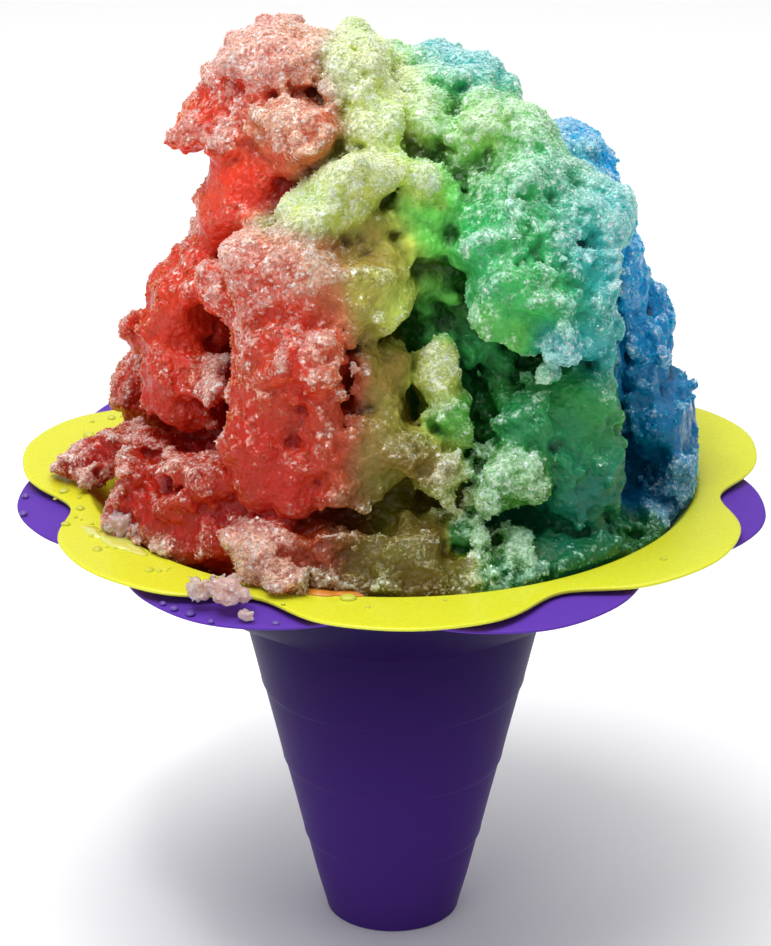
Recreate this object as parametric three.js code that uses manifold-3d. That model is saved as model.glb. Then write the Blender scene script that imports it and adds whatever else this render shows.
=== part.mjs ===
// Shaved ice heaped in a flower cup: a tall purple cup with a petalled brim, a yellow
// petalled collar nested in its mouth, the heap of ice, and one clump that has fallen
// onto a purple petal. Millimetres, +Z up, origin at the centre of the cup's flat base.
import * as THREE from 'three';
import { mergeVertices } from 'three/addons/utils/BufferGeometryUtils.js';
import { ImprovedNoise } from 'three/addons/math/ImprovedNoise.js';
import Module from 'manifold-3d';

const wasm = await Module();
wasm.setup();

// ---- driving dimensions, mm ----
const GAP = 0.3;
const PETALS = 7;
const AROUND = PETALS * 8;

const CUP = {
  baseRadius: 15.7,
  shoulderRadius: 35.3,
  shoulderHeight: 80,
  segments: 4,
  ribStep: 0.25,
  ribSlope: 0.5,
  wall: 1.2,
  floor: 1.6,
  mouthRadius: 70.4,
  mouthHeight: 107.4,
  bowlStart: THREE.MathUtils.degToRad(62),
  bowlEnd: THREE.MathUtils.degToRad(37),
};
const CUP_BRIM = {
  top: 109.3,
  thickness: 0.9,
  droop: 0.6,
  petals: { mean: 81.5, waves: [4.7, -0.9, 0.3], turn: -67 },
};
const COLLAR = { top: 111.2, thickness: 0.9, mouthRadius: 68.7, wallDrop: 8, lip: 0.9 };
const COLLAR_BRIM = { petals: { mean: 81.7, waves: [5.3, -1.3, 0.4], turn: -87.4 } };

const HEAP = {
  foot: 108.6,
  footRadius: 61.5,
  height: 106,
  depthScale: 0.95,
  capHeight: 186,
  rows: 25,
  capRows: 12,
  columns: 72,
  frontBias: 0.4,
};
const HEAP_NOISE = { size: 9, depth: 1.6 };
const BACK = { rows: 6, perRow: 7, seed: 11 };

// ---- solids ----
function solidFrom(geometry) {
  const bare = geometry.index ? geometry.clone() : geometry;
  for (const name of Object.keys(bare.attributes)) {
    if (name !== 'position') bare.deleteAttribute(name);
  }
  const merged = mergeVertices(bare, 1e-4);
  const mesh = new wasm.Mesh({
    numProp: 3,
    vertProperties: new Float32Array(merged.attributes.position.array),
    triVerts: new Uint32Array(merged.index.array),
  });
  return new wasm.Manifold(mesh);
}

function meshFrom(solid, name, material) {
  const { vertProperties, triVerts } = solid.getMesh();
  const geometry = new THREE.BufferGeometry();
  geometry.setAttribute('position', new THREE.BufferAttribute(new Float32Array(vertProperties), 3));
  geometry.setIndex(new THREE.BufferAttribute(new Uint32Array(triVerts), 1));
  geometry.computeVertexNormals();
  const mesh = new THREE.Mesh(geometry, material);
  mesh.name = name;
  return mesh;
}

function turned(profile, around = AROUND) {
  const geometry = new THREE.LatheGeometry(profile.map(([r, z]) => new THREE.Vector2(r, z)), around);
  geometry.rotateX(Math.PI / 2);
  return geometry;
}

function moveVertices(geometry, move) {
  const position = geometry.attributes.position;
  const point = new THREE.Vector3();
  for (let i = 0; i < position.count; i += 1) {
    point.fromBufferAttribute(position, i);
    move(point);
    position.setXYZ(i, point.x, point.y, point.z);
  }
  return geometry;
}

// ---- the two petalled brims ----
function petalRadius({ mean, waves, turn }, angle) {
  const along = PETALS * (angle - THREE.MathUtils.degToRad(turn));
  return waves.reduce((sum, wave, i) => sum + wave * Math.cos((i + 1) * along), mean);
}

// A brim is turned with its rim at radius `mean`; this pulls the rim out to the petals.
function petalled(geometry, petals, from) {
  return moveVertices(geometry, (p) => {
    const radius = Math.hypot(p.x, p.y);
    if (radius <= from) return;
    const rim = petalRadius(petals, Math.atan2(p.y, p.x));
    const scale = (from + (radius - from) * (rim - from) / (petals.mean - from)) / radius;
    p.x *= scale;
    p.y *= scale;
  });
}

// Points up the cup's cone and bowl, set in from its outer face by `inset`.
function coneRadius(z) {
  return THREE.MathUtils.lerp(CUP.baseRadius, CUP.shoulderRadius, z / CUP.shoulderHeight);
}

function bowlCurve() {
  const start = new THREE.Vector2(CUP.shoulderRadius, CUP.shoulderHeight);
  const end = new THREE.Vector2(CUP.mouthRadius, CUP.mouthHeight);
  const leave = new THREE.Vector2(Math.sin(CUP.bowlStart), Math.cos(CUP.bowlStart));
  const arrive = new THREE.Vector2(Math.sin(CUP.bowlEnd), Math.cos(CUP.bowlEnd));
  const chord = end.clone().sub(start);
  const reach = chord.cross(arrive) / leave.cross(arrive);
  return new THREE.QuadraticBezierCurve(start, start.clone().addScaledVector(leave, reach), end);
}

function bowlPoints(inset, from = 0, to = 1, steps = 5) {
  const curve = bowlCurve();
  const points = [];
  for (let i = 0; i <= steps; i += 1) {
    const t = THREE.MathUtils.lerp(from, to, i / steps);
    const point = curve.getPoint(t);
    const tangent = curve.getTangent(t);
    points.push([point.x - tangent.y * inset, point.y + tangent.x * inset]);
  }
  return points;
}

function ribbedCone() {
  const points = [];
  const pitch = CUP.shoulderHeight / CUP.segments;
  for (let i = 1; i < CUP.segments; i += 1) {
    const z = i * pitch;
    points.push([coneRadius(z - CUP.ribSlope) - CUP.ribStep, z - CUP.ribSlope]);
    points.push([coneRadius(z + CUP.ribSlope) + CUP.ribStep, z + CUP.ribSlope]);
  }
  return points;
}

function cupSolid() {
  const { mean } = CUP_BRIM.petals;
  const rim = CUP_BRIM.top - CUP_BRIM.droop;
  const inside = bowlPoints(CUP.wall).reverse();
  const mouth = inside[0][0];
  const profile = [
    [0, 0],
    [CUP.baseRadius - 0.5, 0],
    [CUP.baseRadius, 0.5],
    ...ribbedCone(),
    ...bowlPoints(0),
    [CUP.mouthRadius + 1.5, CUP_BRIM.top - CUP_BRIM.thickness],
    [mean, rim - CUP_BRIM.thickness],
    [mean, rim],
    [mouth + 1.2, CUP_BRIM.top],
    ...inside,
    [CUP.baseRadius - CUP.wall, CUP.floor],
    [0, CUP.floor],
  ];
  return solidFrom(petalled(turned(profile), CUP_BRIM.petals, CUP.mouthRadius + 2));
}

// The collar's wall runs down inside the cup's bowl; `grow` swells it for clearance cuts.
function collarSolid(grow = 0) {
  const { top, thickness, mouthRadius, wallDrop, lip } = COLLAR;
  const slope = Math.tan(CUP.bowlEnd);
  const inner = (z) => mouthRadius - (top - lip - z) * slope - grow;
  const wallAcross = thickness / Math.cos(CUP.bowlEnd) + 2 * grow;
  const low = top - lip - wallDrop;
  const high = top - thickness - grow;
  const { mean } = COLLAR_BRIM.petals;
  const profile = [
    [inner(low) + wallAcross, low],
    [inner(high) + wallAcross + 0.4, high],
    [mean + grow, high],
    [mean + grow, top + grow],
    [mouthRadius + lip, top + grow],
    [mouthRadius + 0.3 * lip - grow, top - 0.3 * lip + grow],
    [inner(top - lip), top - lip],
    [inner(low), low],
    [inner(low) + wallAcross, low],
  ];
  return solidFrom(petalled(turned(profile), COLLAR_BRIM.petals, mouthRadius + 2));
}

// ---- the heap of ice ----
const noise = new ImprovedNoise();

function wave(point, size) {
  return noise.noise(point.x / size, point.y / size, point.z / size);
}

// A rough lump: [x, y, z] centre, [width, depth, height] half sizes, lean about Y in degrees.
function clumpSolid([x, y, z, width, depth, height, lean = 0]) {
  const geometry = new THREE.IcosahedronGeometry(1, 3);
  geometry.scale(width, depth, height);
  moveVertices(geometry, (p) => p.multiplyScalar(1 + 0.5 * wave(p, 0.4 * width)));
  geometry.rotateY(THREE.MathUtils.degToRad(lean));
  geometry.translate(x, y, z);
  return solidFrom(geometry);
}

// Where a ray enters and leaves a lump, as distances from its origin, or null if it misses.
function crossing([x, y, z, width, depth, height, lean = 0], origin, direction) {
  const upright = new THREE.Matrix4().makeRotationY(-THREE.MathUtils.degToRad(lean));
  const size = new THREE.Vector3(width, depth, height);
  const from = origin.clone().sub(new THREE.Vector3(x, y, z)).applyMatrix4(upright).divide(size);
  const along = direction.clone().applyMatrix4(upright).divide(size);
  const a = along.lengthSq();
  const b = from.dot(along);
  const inside = b * b - a * (from.lengthSq() - 1);
  if (inside <= 0) return null;
  return [(-b - Math.sqrt(inside)) / a, (-b + Math.sqrt(inside)) / a];
}

function heapRadius(rise) {
  return HEAP.footRadius * (1 - rise ** 1.7) ** 0.62;
}

function heapShift(rise) {
  return 4 * Math.sin(Math.PI * rise ** 1.2) - 14 * rise ** 6;
}

// How far the heap reaches from its middle along one ray: the furthest lump, less crevices.
function reach(lumps, origin, direction) {
  let far = 0;
  for (const lump of lumps) {
    const hit = crossing(lump, origin, direction);
    if (hit) far = Math.max(far, hit[1]);
  }
  const point = origin.clone().addScaledVector(direction, far);
  far += HEAP_NOISE.depth * wave(point, HEAP_NOISE.size);
  for (const crevice of CREVICES) {
    const hit = crossing(crevice, origin, direction);
    if (hit && hit[0] < far && hit[1] > far - 1) far = hit[0];
  }
  return far;
}

// A closed upright capsule whose every vertex is pushed out, along its own ray, to the heap.
// Columns are closer together at the front, where the heap is most broken up.
function heapGeometry() {
  const { foot, capHeight, rows, capRows, columns, frontBias } = HEAP;
  const profile = [[0, foot - 6]];
  for (let i = 0; i <= rows; i += 1) {
    profile.push([1, THREE.MathUtils.lerp(foot - 6, capHeight, i / rows)]);
  }
  for (let i = 1; i <= capRows; i += 1) {
    const climb = (Math.PI / 2) * (i / capRows);
    profile.push([Math.cos(climb), capHeight + Math.sin(climb)]);
  }
  profile[profile.length - 1][0] = 0;
  const masses = [CORE, CROWN, LEFT_SHELF, RED_SIDE, LIME_TONGUE, GREEN_WING, BLUE_RIDGE];
  const lumps = [...masses, backClumps()].flat();
  return moveVertices(turned(profile, columns), (p) => {
    if (p.z === foot - 6 && Math.hypot(p.x, p.y) < 0.5) return;
    const level = Math.min(p.z, capHeight);
    const angle = Math.atan2(p.y, p.x);
    const spread = angle - frontBias * Math.cos(angle);
    const flat = Math.hypot(p.x, p.y);
    const direction = new THREE.Vector3(flat * Math.cos(spread), flat * Math.sin(spread), p.z - level);
    direction.normalize();
    const rise = (level - foot) / HEAP.height;
    const origin = new THREE.Vector3(rise > 0 ? heapShift(rise) : 0, 0, level);
    p.copy(origin).addScaledVector(direction, reach(lumps, origin, direction));
  });
}

// Everything the ice may fill: the cup's and collar's inside, and the air above the collar.
function roomForIce() {
  const { top, mouthRadius, lip, wallDrop } = COLLAR;
  const collarFoot = top - lip - wallDrop;
  const inside = bowlPoints(CUP.wall + GAP, 0, 1, 8).filter(([, z]) => z < collarFoot - GAP);
  const wide = 100;
  const high = 240;
  const slope = Math.tan(CUP.bowlEnd);
  const ledge = mouthRadius - wallDrop * slope - 1.5 * GAP;
  return solidFrom(turned([
    [0, CUP.floor + GAP],
    [CUP.baseRadius - CUP.wall - GAP, CUP.floor + GAP],
    ...inside,
    [ledge, collarFoot - GAP],
    [mouthRadius - 1.5 * GAP, top - lip],
    [mouthRadius + 0.3 * lip - GAP, top - 0.3 * lip + 0.5 * GAP],
    [mouthRadius + lip, top + GAP],
    [wide, top + GAP],
    [wide, high],
    [0, high],
  ]));
}

// Lumps are [x, y, z, half width, half depth, half height, lean in degrees].
const CORE = [
  [0, 0, 104, 62, 59, 34],
  [1, 0, 130, 59, 56, 32],
  [3, 0, 155, 53, 50, 30],
  [1, 0, 176, 42, 40, 25],
  [-8, 0, 193, 28, 26, 17],
];
const CROWN = [
  [-25, -3, 204.5, 12.5, 11, 12],
  [-9, -1, 206, 10, 11, 11.5],
  [11, 1, 200, 11, 11, 10.5],
  [-6, 12, 202, 12, 10, 9],
];
const LEFT_SHELF = [
  [-39, -5, 195.5, 12.5, 9, 6.2, 4],
  [-29, -10, 196, 9.5, 10, 10],
];
const RED_SIDE = [
  [-19, -27, 198.5, 10, 8.5, 10],
  [-33, -14, 180, 9, 11, 12],
  [-27, -27, 174, 10, 9, 9.5],
  [-46.5, -6, 157, 9.5, 12, 9],
  [-51, -8, 144, 9, 12, 8.5],
  [-49, -16, 133, 10.5, 12, 10.5],
  [-22, -37, 167, 11.5, 9, 11],
  [-24.5, -41, 154, 12, 10, 11.5],
  [-23.5, -45, 140, 13, 11, 12],
  [-21.5, -48, 126, 13.5, 12, 12.5],
  [-40, -40, 119, 11, 9, 8],
  [-57, -20, 123, 9.5, 8, 6.5],
  [-66, -7, 115, 13.5, 4.5, 3.6, -6],
  [-19.4, -55, 115.5, 12, 8, 7.5],
  [-42, -44, 113, 12, 10, 5],
];
const LIME_TONGUE = [
  [-4, -34, 194.5, 8, 8, 7.5],
  [-13, -38, 189, 10, 8.5, 7.5, 35],
  [-22, -41, 183, 8, 7.5, 6, 35],
  [-4.5, -42, 171, 10.5, 9.5, 11.5],
  [7, -33, 190, 5, 5.5, 5.5],
  [-2.5, -47, 153, 8.5, 8, 9],
  [13, -45, 147, 6.5, 7.5, 10],
  [2, -49, 143, 9, 8, 9],
  [-1.5, -52, 131.5, 10, 8.5, 9],
  [10, -52, 129, 7.5, 7.5, 7],
  [5, -55, 114.5, 11.5, 8, 6.5],
];
const GREEN_WING = [
  [21, -15, 190, 12, 12, 12],
  [34, -22, 176, 14, 13, 14.5],
  [39, -28, 163, 13, 12, 15],
  [46, -18, 168, 9, 13, 20],
  [25.5, -49, 129, 7.5, 8, 8.5],
  [38, -36, 137, 12, 11, 12],
  [36, -40, 118, 13.5, 12, 11],
  [48, -30, 120, 9.5, 12, 12],
  [28, -46, 153, 3.6, 4, 3.6],
];
const BLUE_RIDGE = [
  [38, 6, 180, 9, 10, 9],
  [47, 7, 170, 8.5, 11, 9],
  [53, 6, 158.5, 7.5, 11, 9],
  [56, 4, 145, 8.5, 12, 10],
  [59, 0, 128.5, 11, 13, 12],
  [57, -12, 115, 11, 12, 11],
  [65.5, -8, 114.5, 5, 6, 5.5],
];
const CREVICES = [
  [15, -42, 184, 2.8, 8, 9, 12],
  [17, -50, 167, 3.6, 12, 14, 0],
  [18, -55, 148, 3.4, 14, 15, 0],
  [20, -58, 131, 3, 10, 10, -6],
  [32, -48, 146, 9, 9, 4.5, 10],
  [-43, -40, 133, 6, 8, 3.4],
  [-37, -40, 151, 2.2, 9, 18, -6],
];

// Lumps over the hidden back, from a fixed sequence, in rows that shrink towards the top.
function backClumps() {
  let state = BACK.seed;
  const next = () => {
    state = (state * 16807) % 2147483647;
    return state / 2147483647;
  };
  const clumps = [];
  for (let row = 0; row < BACK.rows; row += 1) {
    const rise = 0.04 + 0.8 * row / (BACK.rows - 1);
    const count = Math.max(3, Math.round(BACK.perRow * (1 - 0.55 * rise)));
    for (let i = 0; i < count; i += 1) {
      const angle = THREE.MathUtils.degToRad(8 + 164 * (i + 0.5 * (row % 2) + 0.3 * next()) / count);
      const radius = heapRadius(rise) - 3.5 - 3 * next();
      const size = 8.5 + 3.5 * next();
      clumps.push([
        radius * Math.cos(angle) + heapShift(rise),
        radius * Math.sin(angle) * HEAP.depthScale,
        HEAP.foot + HEAP.height * rise,
        size * (0.9 + 0.3 * next()),
        size,
        size * (0.85 + 0.3 * next()),
      ]);
    }
  }
  return clumps;
}

function heapSolid() {
  const foot = [[0, 0], [COLLAR.mouthRadius, 0], [COLLAR.mouthRadius, HEAP.foot], [0, HEAP.foot]];
  return solidFrom(turned(foot)).add(solidFrom(heapGeometry())).intersect(roomForIce());
}

// The clump that fell over the collar's edge and lies on the purple petal below it.
const SPILL = [-36.5, -71.5, 111.2, 6, 3.8, 2.8, 5];

function spillSolid() {
  const floor = CUP_BRIM.top + GAP;
  const room = new THREE.BoxGeometry(40, 40, 20);
  room.translate(SPILL[0], SPILL[1], floor + 10);
  return clumpSolid(SPILL).intersect(solidFrom(room)).subtract(collarSolid(GAP));
}

// ---- the object ----
const plastic = (color) => new THREE.MeshStandardMaterial({ color, roughness: 0.35, metalness: 0 });
const ice = (color) => new THREE.MeshStandardMaterial({ color, roughness: 0.5, metalness: 0 });

const dessert = new THREE.Group();
dessert.add(
  meshFrom(cupSolid(), 'cup', plastic('#4a2a8c')),
  meshFrom(collarSolid(), 'petal_collar', plastic('#eef23c')),
  meshFrom(heapSolid(), 'shaved_ice', ice('#8fbf6a')),
  meshFrom(spillSolid(), 'spill_clump', ice('#b9a6c8')),
);

export default dessert;
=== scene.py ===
"""A cone cup of rainbow shaved ice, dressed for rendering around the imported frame.

The cup and its petalled collar are turned from profiles, the heap is a union of rough lumps
with carved crevices and icy relief, and loose crystals are scattered over it. Sizes are in
millimetres and become metres where a mesh is made.
"""

from __future__ import annotations

import itertools
import logging
import math
from collections.abc import Callable, Iterable
from dataclasses import dataclass
from enum import Enum

import bmesh
import bpy
import numpy as np
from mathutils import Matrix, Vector

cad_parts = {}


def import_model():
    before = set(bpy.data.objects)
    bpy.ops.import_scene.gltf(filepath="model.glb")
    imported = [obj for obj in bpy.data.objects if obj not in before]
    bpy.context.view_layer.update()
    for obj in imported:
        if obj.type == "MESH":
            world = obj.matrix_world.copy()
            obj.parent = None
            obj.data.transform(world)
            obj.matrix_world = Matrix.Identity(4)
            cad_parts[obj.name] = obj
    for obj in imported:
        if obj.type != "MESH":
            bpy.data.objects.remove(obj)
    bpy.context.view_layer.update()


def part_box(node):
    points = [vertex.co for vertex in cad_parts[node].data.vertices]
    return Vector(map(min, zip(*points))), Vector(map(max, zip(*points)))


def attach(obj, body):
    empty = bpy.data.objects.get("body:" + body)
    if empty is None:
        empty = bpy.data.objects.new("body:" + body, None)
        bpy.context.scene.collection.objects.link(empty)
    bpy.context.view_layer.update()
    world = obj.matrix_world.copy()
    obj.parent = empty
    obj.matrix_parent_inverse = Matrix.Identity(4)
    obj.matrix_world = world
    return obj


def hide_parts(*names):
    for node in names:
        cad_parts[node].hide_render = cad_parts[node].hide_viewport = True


LOG = logging.getLogger("dessert")
MM = 0.001
ROOT = "root"
TAU = 2 * math.pi

Colour = tuple[float, float, float]
Profile = list[tuple[float, float]]
Dome = tuple[np.ndarray, list[tuple[int, ...]]]
Socket = bpy.types.NodeSocket


# ---- small tools ----


def srgb(red: float, green: float, blue: float) -> tuple[float, float, float, float]:
    """Turns display values from 0 to 255 into a linear colour.

    Args:
        red, green, blue: Display values, 0 to 255.

    Returns:
        A linear RGBA colour.
    """

    def linear(value: float) -> float:
        """One channel from display to linear."""
        value /= 255
        return value / 12.92 if value <= 0.04045 else ((value + 0.055) / 1.055) ** 2.4

    return linear(red), linear(green), linear(blue), 1.0


class Graph:
    """Short calls for building a shader or geometry node tree."""

    def __init__(self, tree: bpy.types.NodeTree) -> None:
        """Wraps a tree.

        Args:
            tree: The node tree to build in.
        """
        self.tree = tree

    def add(self, kind: str, inputs: dict | None = None, **settings: object) -> bpy.types.Node:
        """Adds one node.

        Args:
            kind: The node's type name.
            inputs: Values or sockets, by input name or number.
            settings: The node's own properties.

        Returns:
            The new node.
        """
        node = self.tree.nodes.new(kind)
        for name, value in settings.items():
            setattr(node, name, value)
        self.feed(node, inputs or {})
        return node

    def feed(self, node: bpy.types.Node, inputs: dict) -> None:
        """Fills a node's inputs, by a link from a socket or with a plain value.

        Args:
            node: The node.
            inputs: Values or sockets, by input name or number.
        """
        for key, value in inputs.items():
            if isinstance(value, Socket):
                self.tree.links.new(value, node.inputs[key])
            else:
                node.inputs[key].default_value = value

    def math(self, operation: str, *values: object, clamp: bool = False) -> Socket:
        """Adds a Math node and gives its result.

        Args:
            operation: The operation's name.
            values: Up to three values or sockets.
            clamp: Whether the result is kept from 0 to 1.

        Returns:
            The result's socket.
        """
        inputs = dict(enumerate(values))
        return self.add("ShaderNodeMath", inputs, operation=operation, use_clamp=clamp).outputs[0]

    def remap(
        self, value: Socket, low: float, high: float, to_low: float = 0.0, to_high: float = 1.0
    ) -> Socket:
        """Maps a value smoothly from one range to another.

        Args:
            value: The value's socket.
            low, high: The range it comes in.
            to_low, to_high: The range it goes to.

        Returns:
            The mapped value's socket.
        """
        inputs = {0: value, 1: low, 2: high, 3: to_low, 4: to_high}
        return self.add("ShaderNodeMapRange", inputs, interpolation_type="SMOOTHSTEP").outputs[0]

    def noise(self, place: Socket, scale: float, detail: float) -> Socket:
        """Adds a noise texture and gives its value.

        Args:
            place: The socket that says where it is read.
            scale: How many waves it has in a metre.
            detail: How many finer layers it has.

        Returns:
            The value's socket.
        """
        inputs = {"Vector": place, "Scale": scale, "Detail": detail}
        return self.add("ShaderNodeTexNoise", inputs).outputs[0]

    def mix(self, share: Socket, first: object, second: object) -> Socket:
        """Mixes two colours.

        Args:
            share: How much of the second colour there is.
            first, second: The colours, as sockets or values.

        Returns:
            The mixed colour's socket.
        """
        inputs = {0: share, 6: first, 7: second}
        return self.add("ShaderNodeMix", inputs, data_type="RGBA").outputs[2]


def named_sockets(tree: bpy.types.NodeTree, way: str, sockets: dict[str, str]) -> None:
    """Makes a node group's named inputs or outputs.

    Args:
        tree: The group's tree.
        way: "INPUT" or "OUTPUT".
        sockets: Socket type by name.
    """
    for name, kind in sockets.items():
        tree.interface.new_socket(name, in_out=way, socket_type=kind)


def blank_material(name: str) -> tuple[bpy.types.Material, Graph, bpy.types.Node]:
    """Starts a material.

    Args:
        name: The material's name.

    Returns:
        The material, the graph of its tree and its shader.
    """
    made = bpy.data.materials.new(name)
    made.use_nodes = True
    return made, Graph(made.node_tree), made.node_tree.nodes["Principled BSDF"]


def object_from(name: str, mesh: bpy.types.Mesh) -> bpy.types.Object:
    """Puts a mesh in the scene as an object at the origin.

    Args:
        name: The object's name.
        mesh: Its mesh, in metres.

    Returns:
        The new object.
    """
    piece = bpy.data.objects.new(name, mesh)
    bpy.context.scene.collection.objects.link(piece)
    return piece


def mesh_from(
    name: str, points: np.ndarray, faces: Iterable[Iterable[int]], smooth: bool = True
) -> bpy.types.Mesh:
    """Makes a mesh from points in millimetres.

    Args:
        name: The mesh's name.
        points: One row of x, y, z for each vertex.
        faces: Vertex numbers of each face.
        smooth: Whether its faces are shaded smooth.

    Returns:
        The mesh, in metres.
    """
    mesh = bpy.data.meshes.new(name)
    mesh.from_pydata((np.asarray(points) * MM).tolist(), [], [tuple(face) for face in faces])
    mesh.polygons.foreach_set("use_smooth", [smooth] * len(mesh.polygons))
    mesh.update()
    return mesh


def read_points(mesh: bpy.types.Mesh) -> np.ndarray:
    """Reads where a mesh's vertices are.

    Args:
        mesh: The mesh, in metres.

    Returns:
        One row of x, y, z for each vertex, in millimetres.
    """
    flat = np.empty(len(mesh.vertices) * 3, dtype=np.float32)
    mesh.vertices.foreach_get("co", flat)
    return flat.reshape(-1, 3).astype(float) / MM


def write_values(mesh: bpy.types.Mesh, name: str, values: np.ndarray) -> None:
    """Stores one number for each vertex under a name."""
    layer = mesh.attributes.new(name, "FLOAT", "POINT")
    layer.data.foreach_set("value", values.astype(np.float32))


def baked(piece: bpy.types.Object) -> bpy.types.Object:
    """Turns a piece's modifiers into its plain mesh.

    Args:
        piece: The object, with its modifiers.

    Returns:
        The same object, with no modifier left.
    """
    graph = bpy.context.evaluated_depsgraph_get()
    graph.update()
    mesh = bpy.data.meshes.new_from_object(piece.evaluated_get(graph), depsgraph=graph)
    piece.modifiers.clear()
    old = piece.data
    mesh.name = piece.name
    piece.data = mesh
    bpy.data.meshes.remove(old)
    return piece


def through_nodes(
    piece: bpy.types.Object, tree: bpy.types.NodeTree, values: dict[str, object]
) -> bpy.types.Object:
    """Runs a geometry node tree on a piece and keeps the result.

    Args:
        piece: The object the tree works on.
        tree: The tree.
        values: The modifier's inputs by name.

    Returns:
        The piece with its new plain mesh.
    """
    modifier = piece.modifiers.new(tree.name, "NODES")
    modifier.node_group = tree
    sockets = {item.name: item.identifier for item in tree.interface.items_tree if item.in_out == "INPUT"}
    for name, value in values.items():
        modifier[sockets[name]] = value
    return baked(piece)


def thinned(piece: bpy.types.Object, most: int) -> bpy.types.Object:
    """Merges a piece's smallest and flattest faces until few enough are left.

    Args:
        piece: The object.
        most: How many triangles it may have.

    Returns:
        The piece with its new mesh.
    """
    piece.data.calc_loop_triangles()
    count = len(piece.data.loop_triangles)
    if count <= most:
        return piece
    modifier = piece.modifiers.new("thin", "DECIMATE")
    modifier.ratio = most / count
    return baked(piece)


def largest_shell(piece: bpy.types.Object) -> bpy.types.Object:
    """Deletes every loose part of a piece but the one with the most vertices.

    Args:
        piece: The object.

    Returns:
        The same object, as one connected skin.
    """
    mesh = piece.data
    edges = np.empty(len(mesh.edges) * 2, dtype=np.int64)
    mesh.edges.foreach_get("vertices", edges)
    start, end = edges.reshape(-1, 2).T
    label = np.arange(len(mesh.vertices))
    while True:
        least = np.minimum(label[start], label[end])
        merged = label.copy()
        np.minimum.at(merged, label[start], least)
        np.minimum.at(merged, label[end], least)
        merged = merged[merged]
        merged = merged[merged]
        if np.array_equal(merged, label):
            break
        label = merged
    keep = label == np.bincount(label).argmax()
    if keep.all():
        return piece
    shells = bmesh.new()
    shells.from_mesh(mesh)
    doomed = [vertex for vertex, kept in zip(shells.verts, keep) if not kept]
    bmesh.ops.delete(shells, geom=doomed, context="VERTS")
    shells.to_mesh(mesh)
    shells.free()
    return piece


# ---- finishes ----


@dataclass(frozen=True)
class Stripes:
    """Three colour ramps along the heap's syrup stripes, from red to blue."""

    places: tuple[float, ...] = (0.0, 0.1, 0.2, 0.3, 0.4, 0.52, 0.64, 0.73, 0.82, 1.0)
    # The deep ramp is the stripes' colour under painted shade, used in the hollows and the low parts.
    deep_shade: tuple[Colour, ...] = (
        (150, 16, 8),
        (124, 30, 8),
        (84, 34, 12),
        (76, 60, 12),
        (92, 96, 18),
        (24, 80, 12),
        (8, 70, 26),
        (8, 78, 54),
        (4, 70, 84),
        (0, 78, 120),
    )
    body: tuple[Colour, ...] = (
        (208, 52, 26),
        (204, 96, 58),
        (188, 122, 72),
        (158, 150, 64),
        (212, 226, 104),
        (112, 200, 84),
        (60, 176, 94),
        (48, 166, 122),
        (54, 180, 176),
        (0, 150, 214),
    )
    frost: tuple[Colour, ...] = (
        (242, 190, 172),
        (246, 196, 166),
        (230, 206, 180),
        (228, 226, 180),
        (232, 242, 196),
        (206, 242, 196),
        (188, 240, 208),
        (180, 236, 218),
        (170, 228, 226),
        (138, 204, 240),
    )

    def ramp(self, graph: Graph, place: Socket, colours: tuple[Colour, ...]) -> Socket:
        """Adds one of the ramps.

        Args:
            graph: The tree being built.
            place: The socket that says where along the stripes a point is.
            colours: The ramp's display colours, one for each place.

        Returns:
            The colour's socket.
        """
        node = graph.add("ShaderNodeValToRGB", {0: place})
        elements = node.color_ramp.elements
        while len(elements) < len(self.places):
            elements.new(0.5)
        for element, where, colour in zip(elements, self.places, colours):
            element.position = where
            element.color = srgb(*colour)
        return node.outputs[0]


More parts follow.
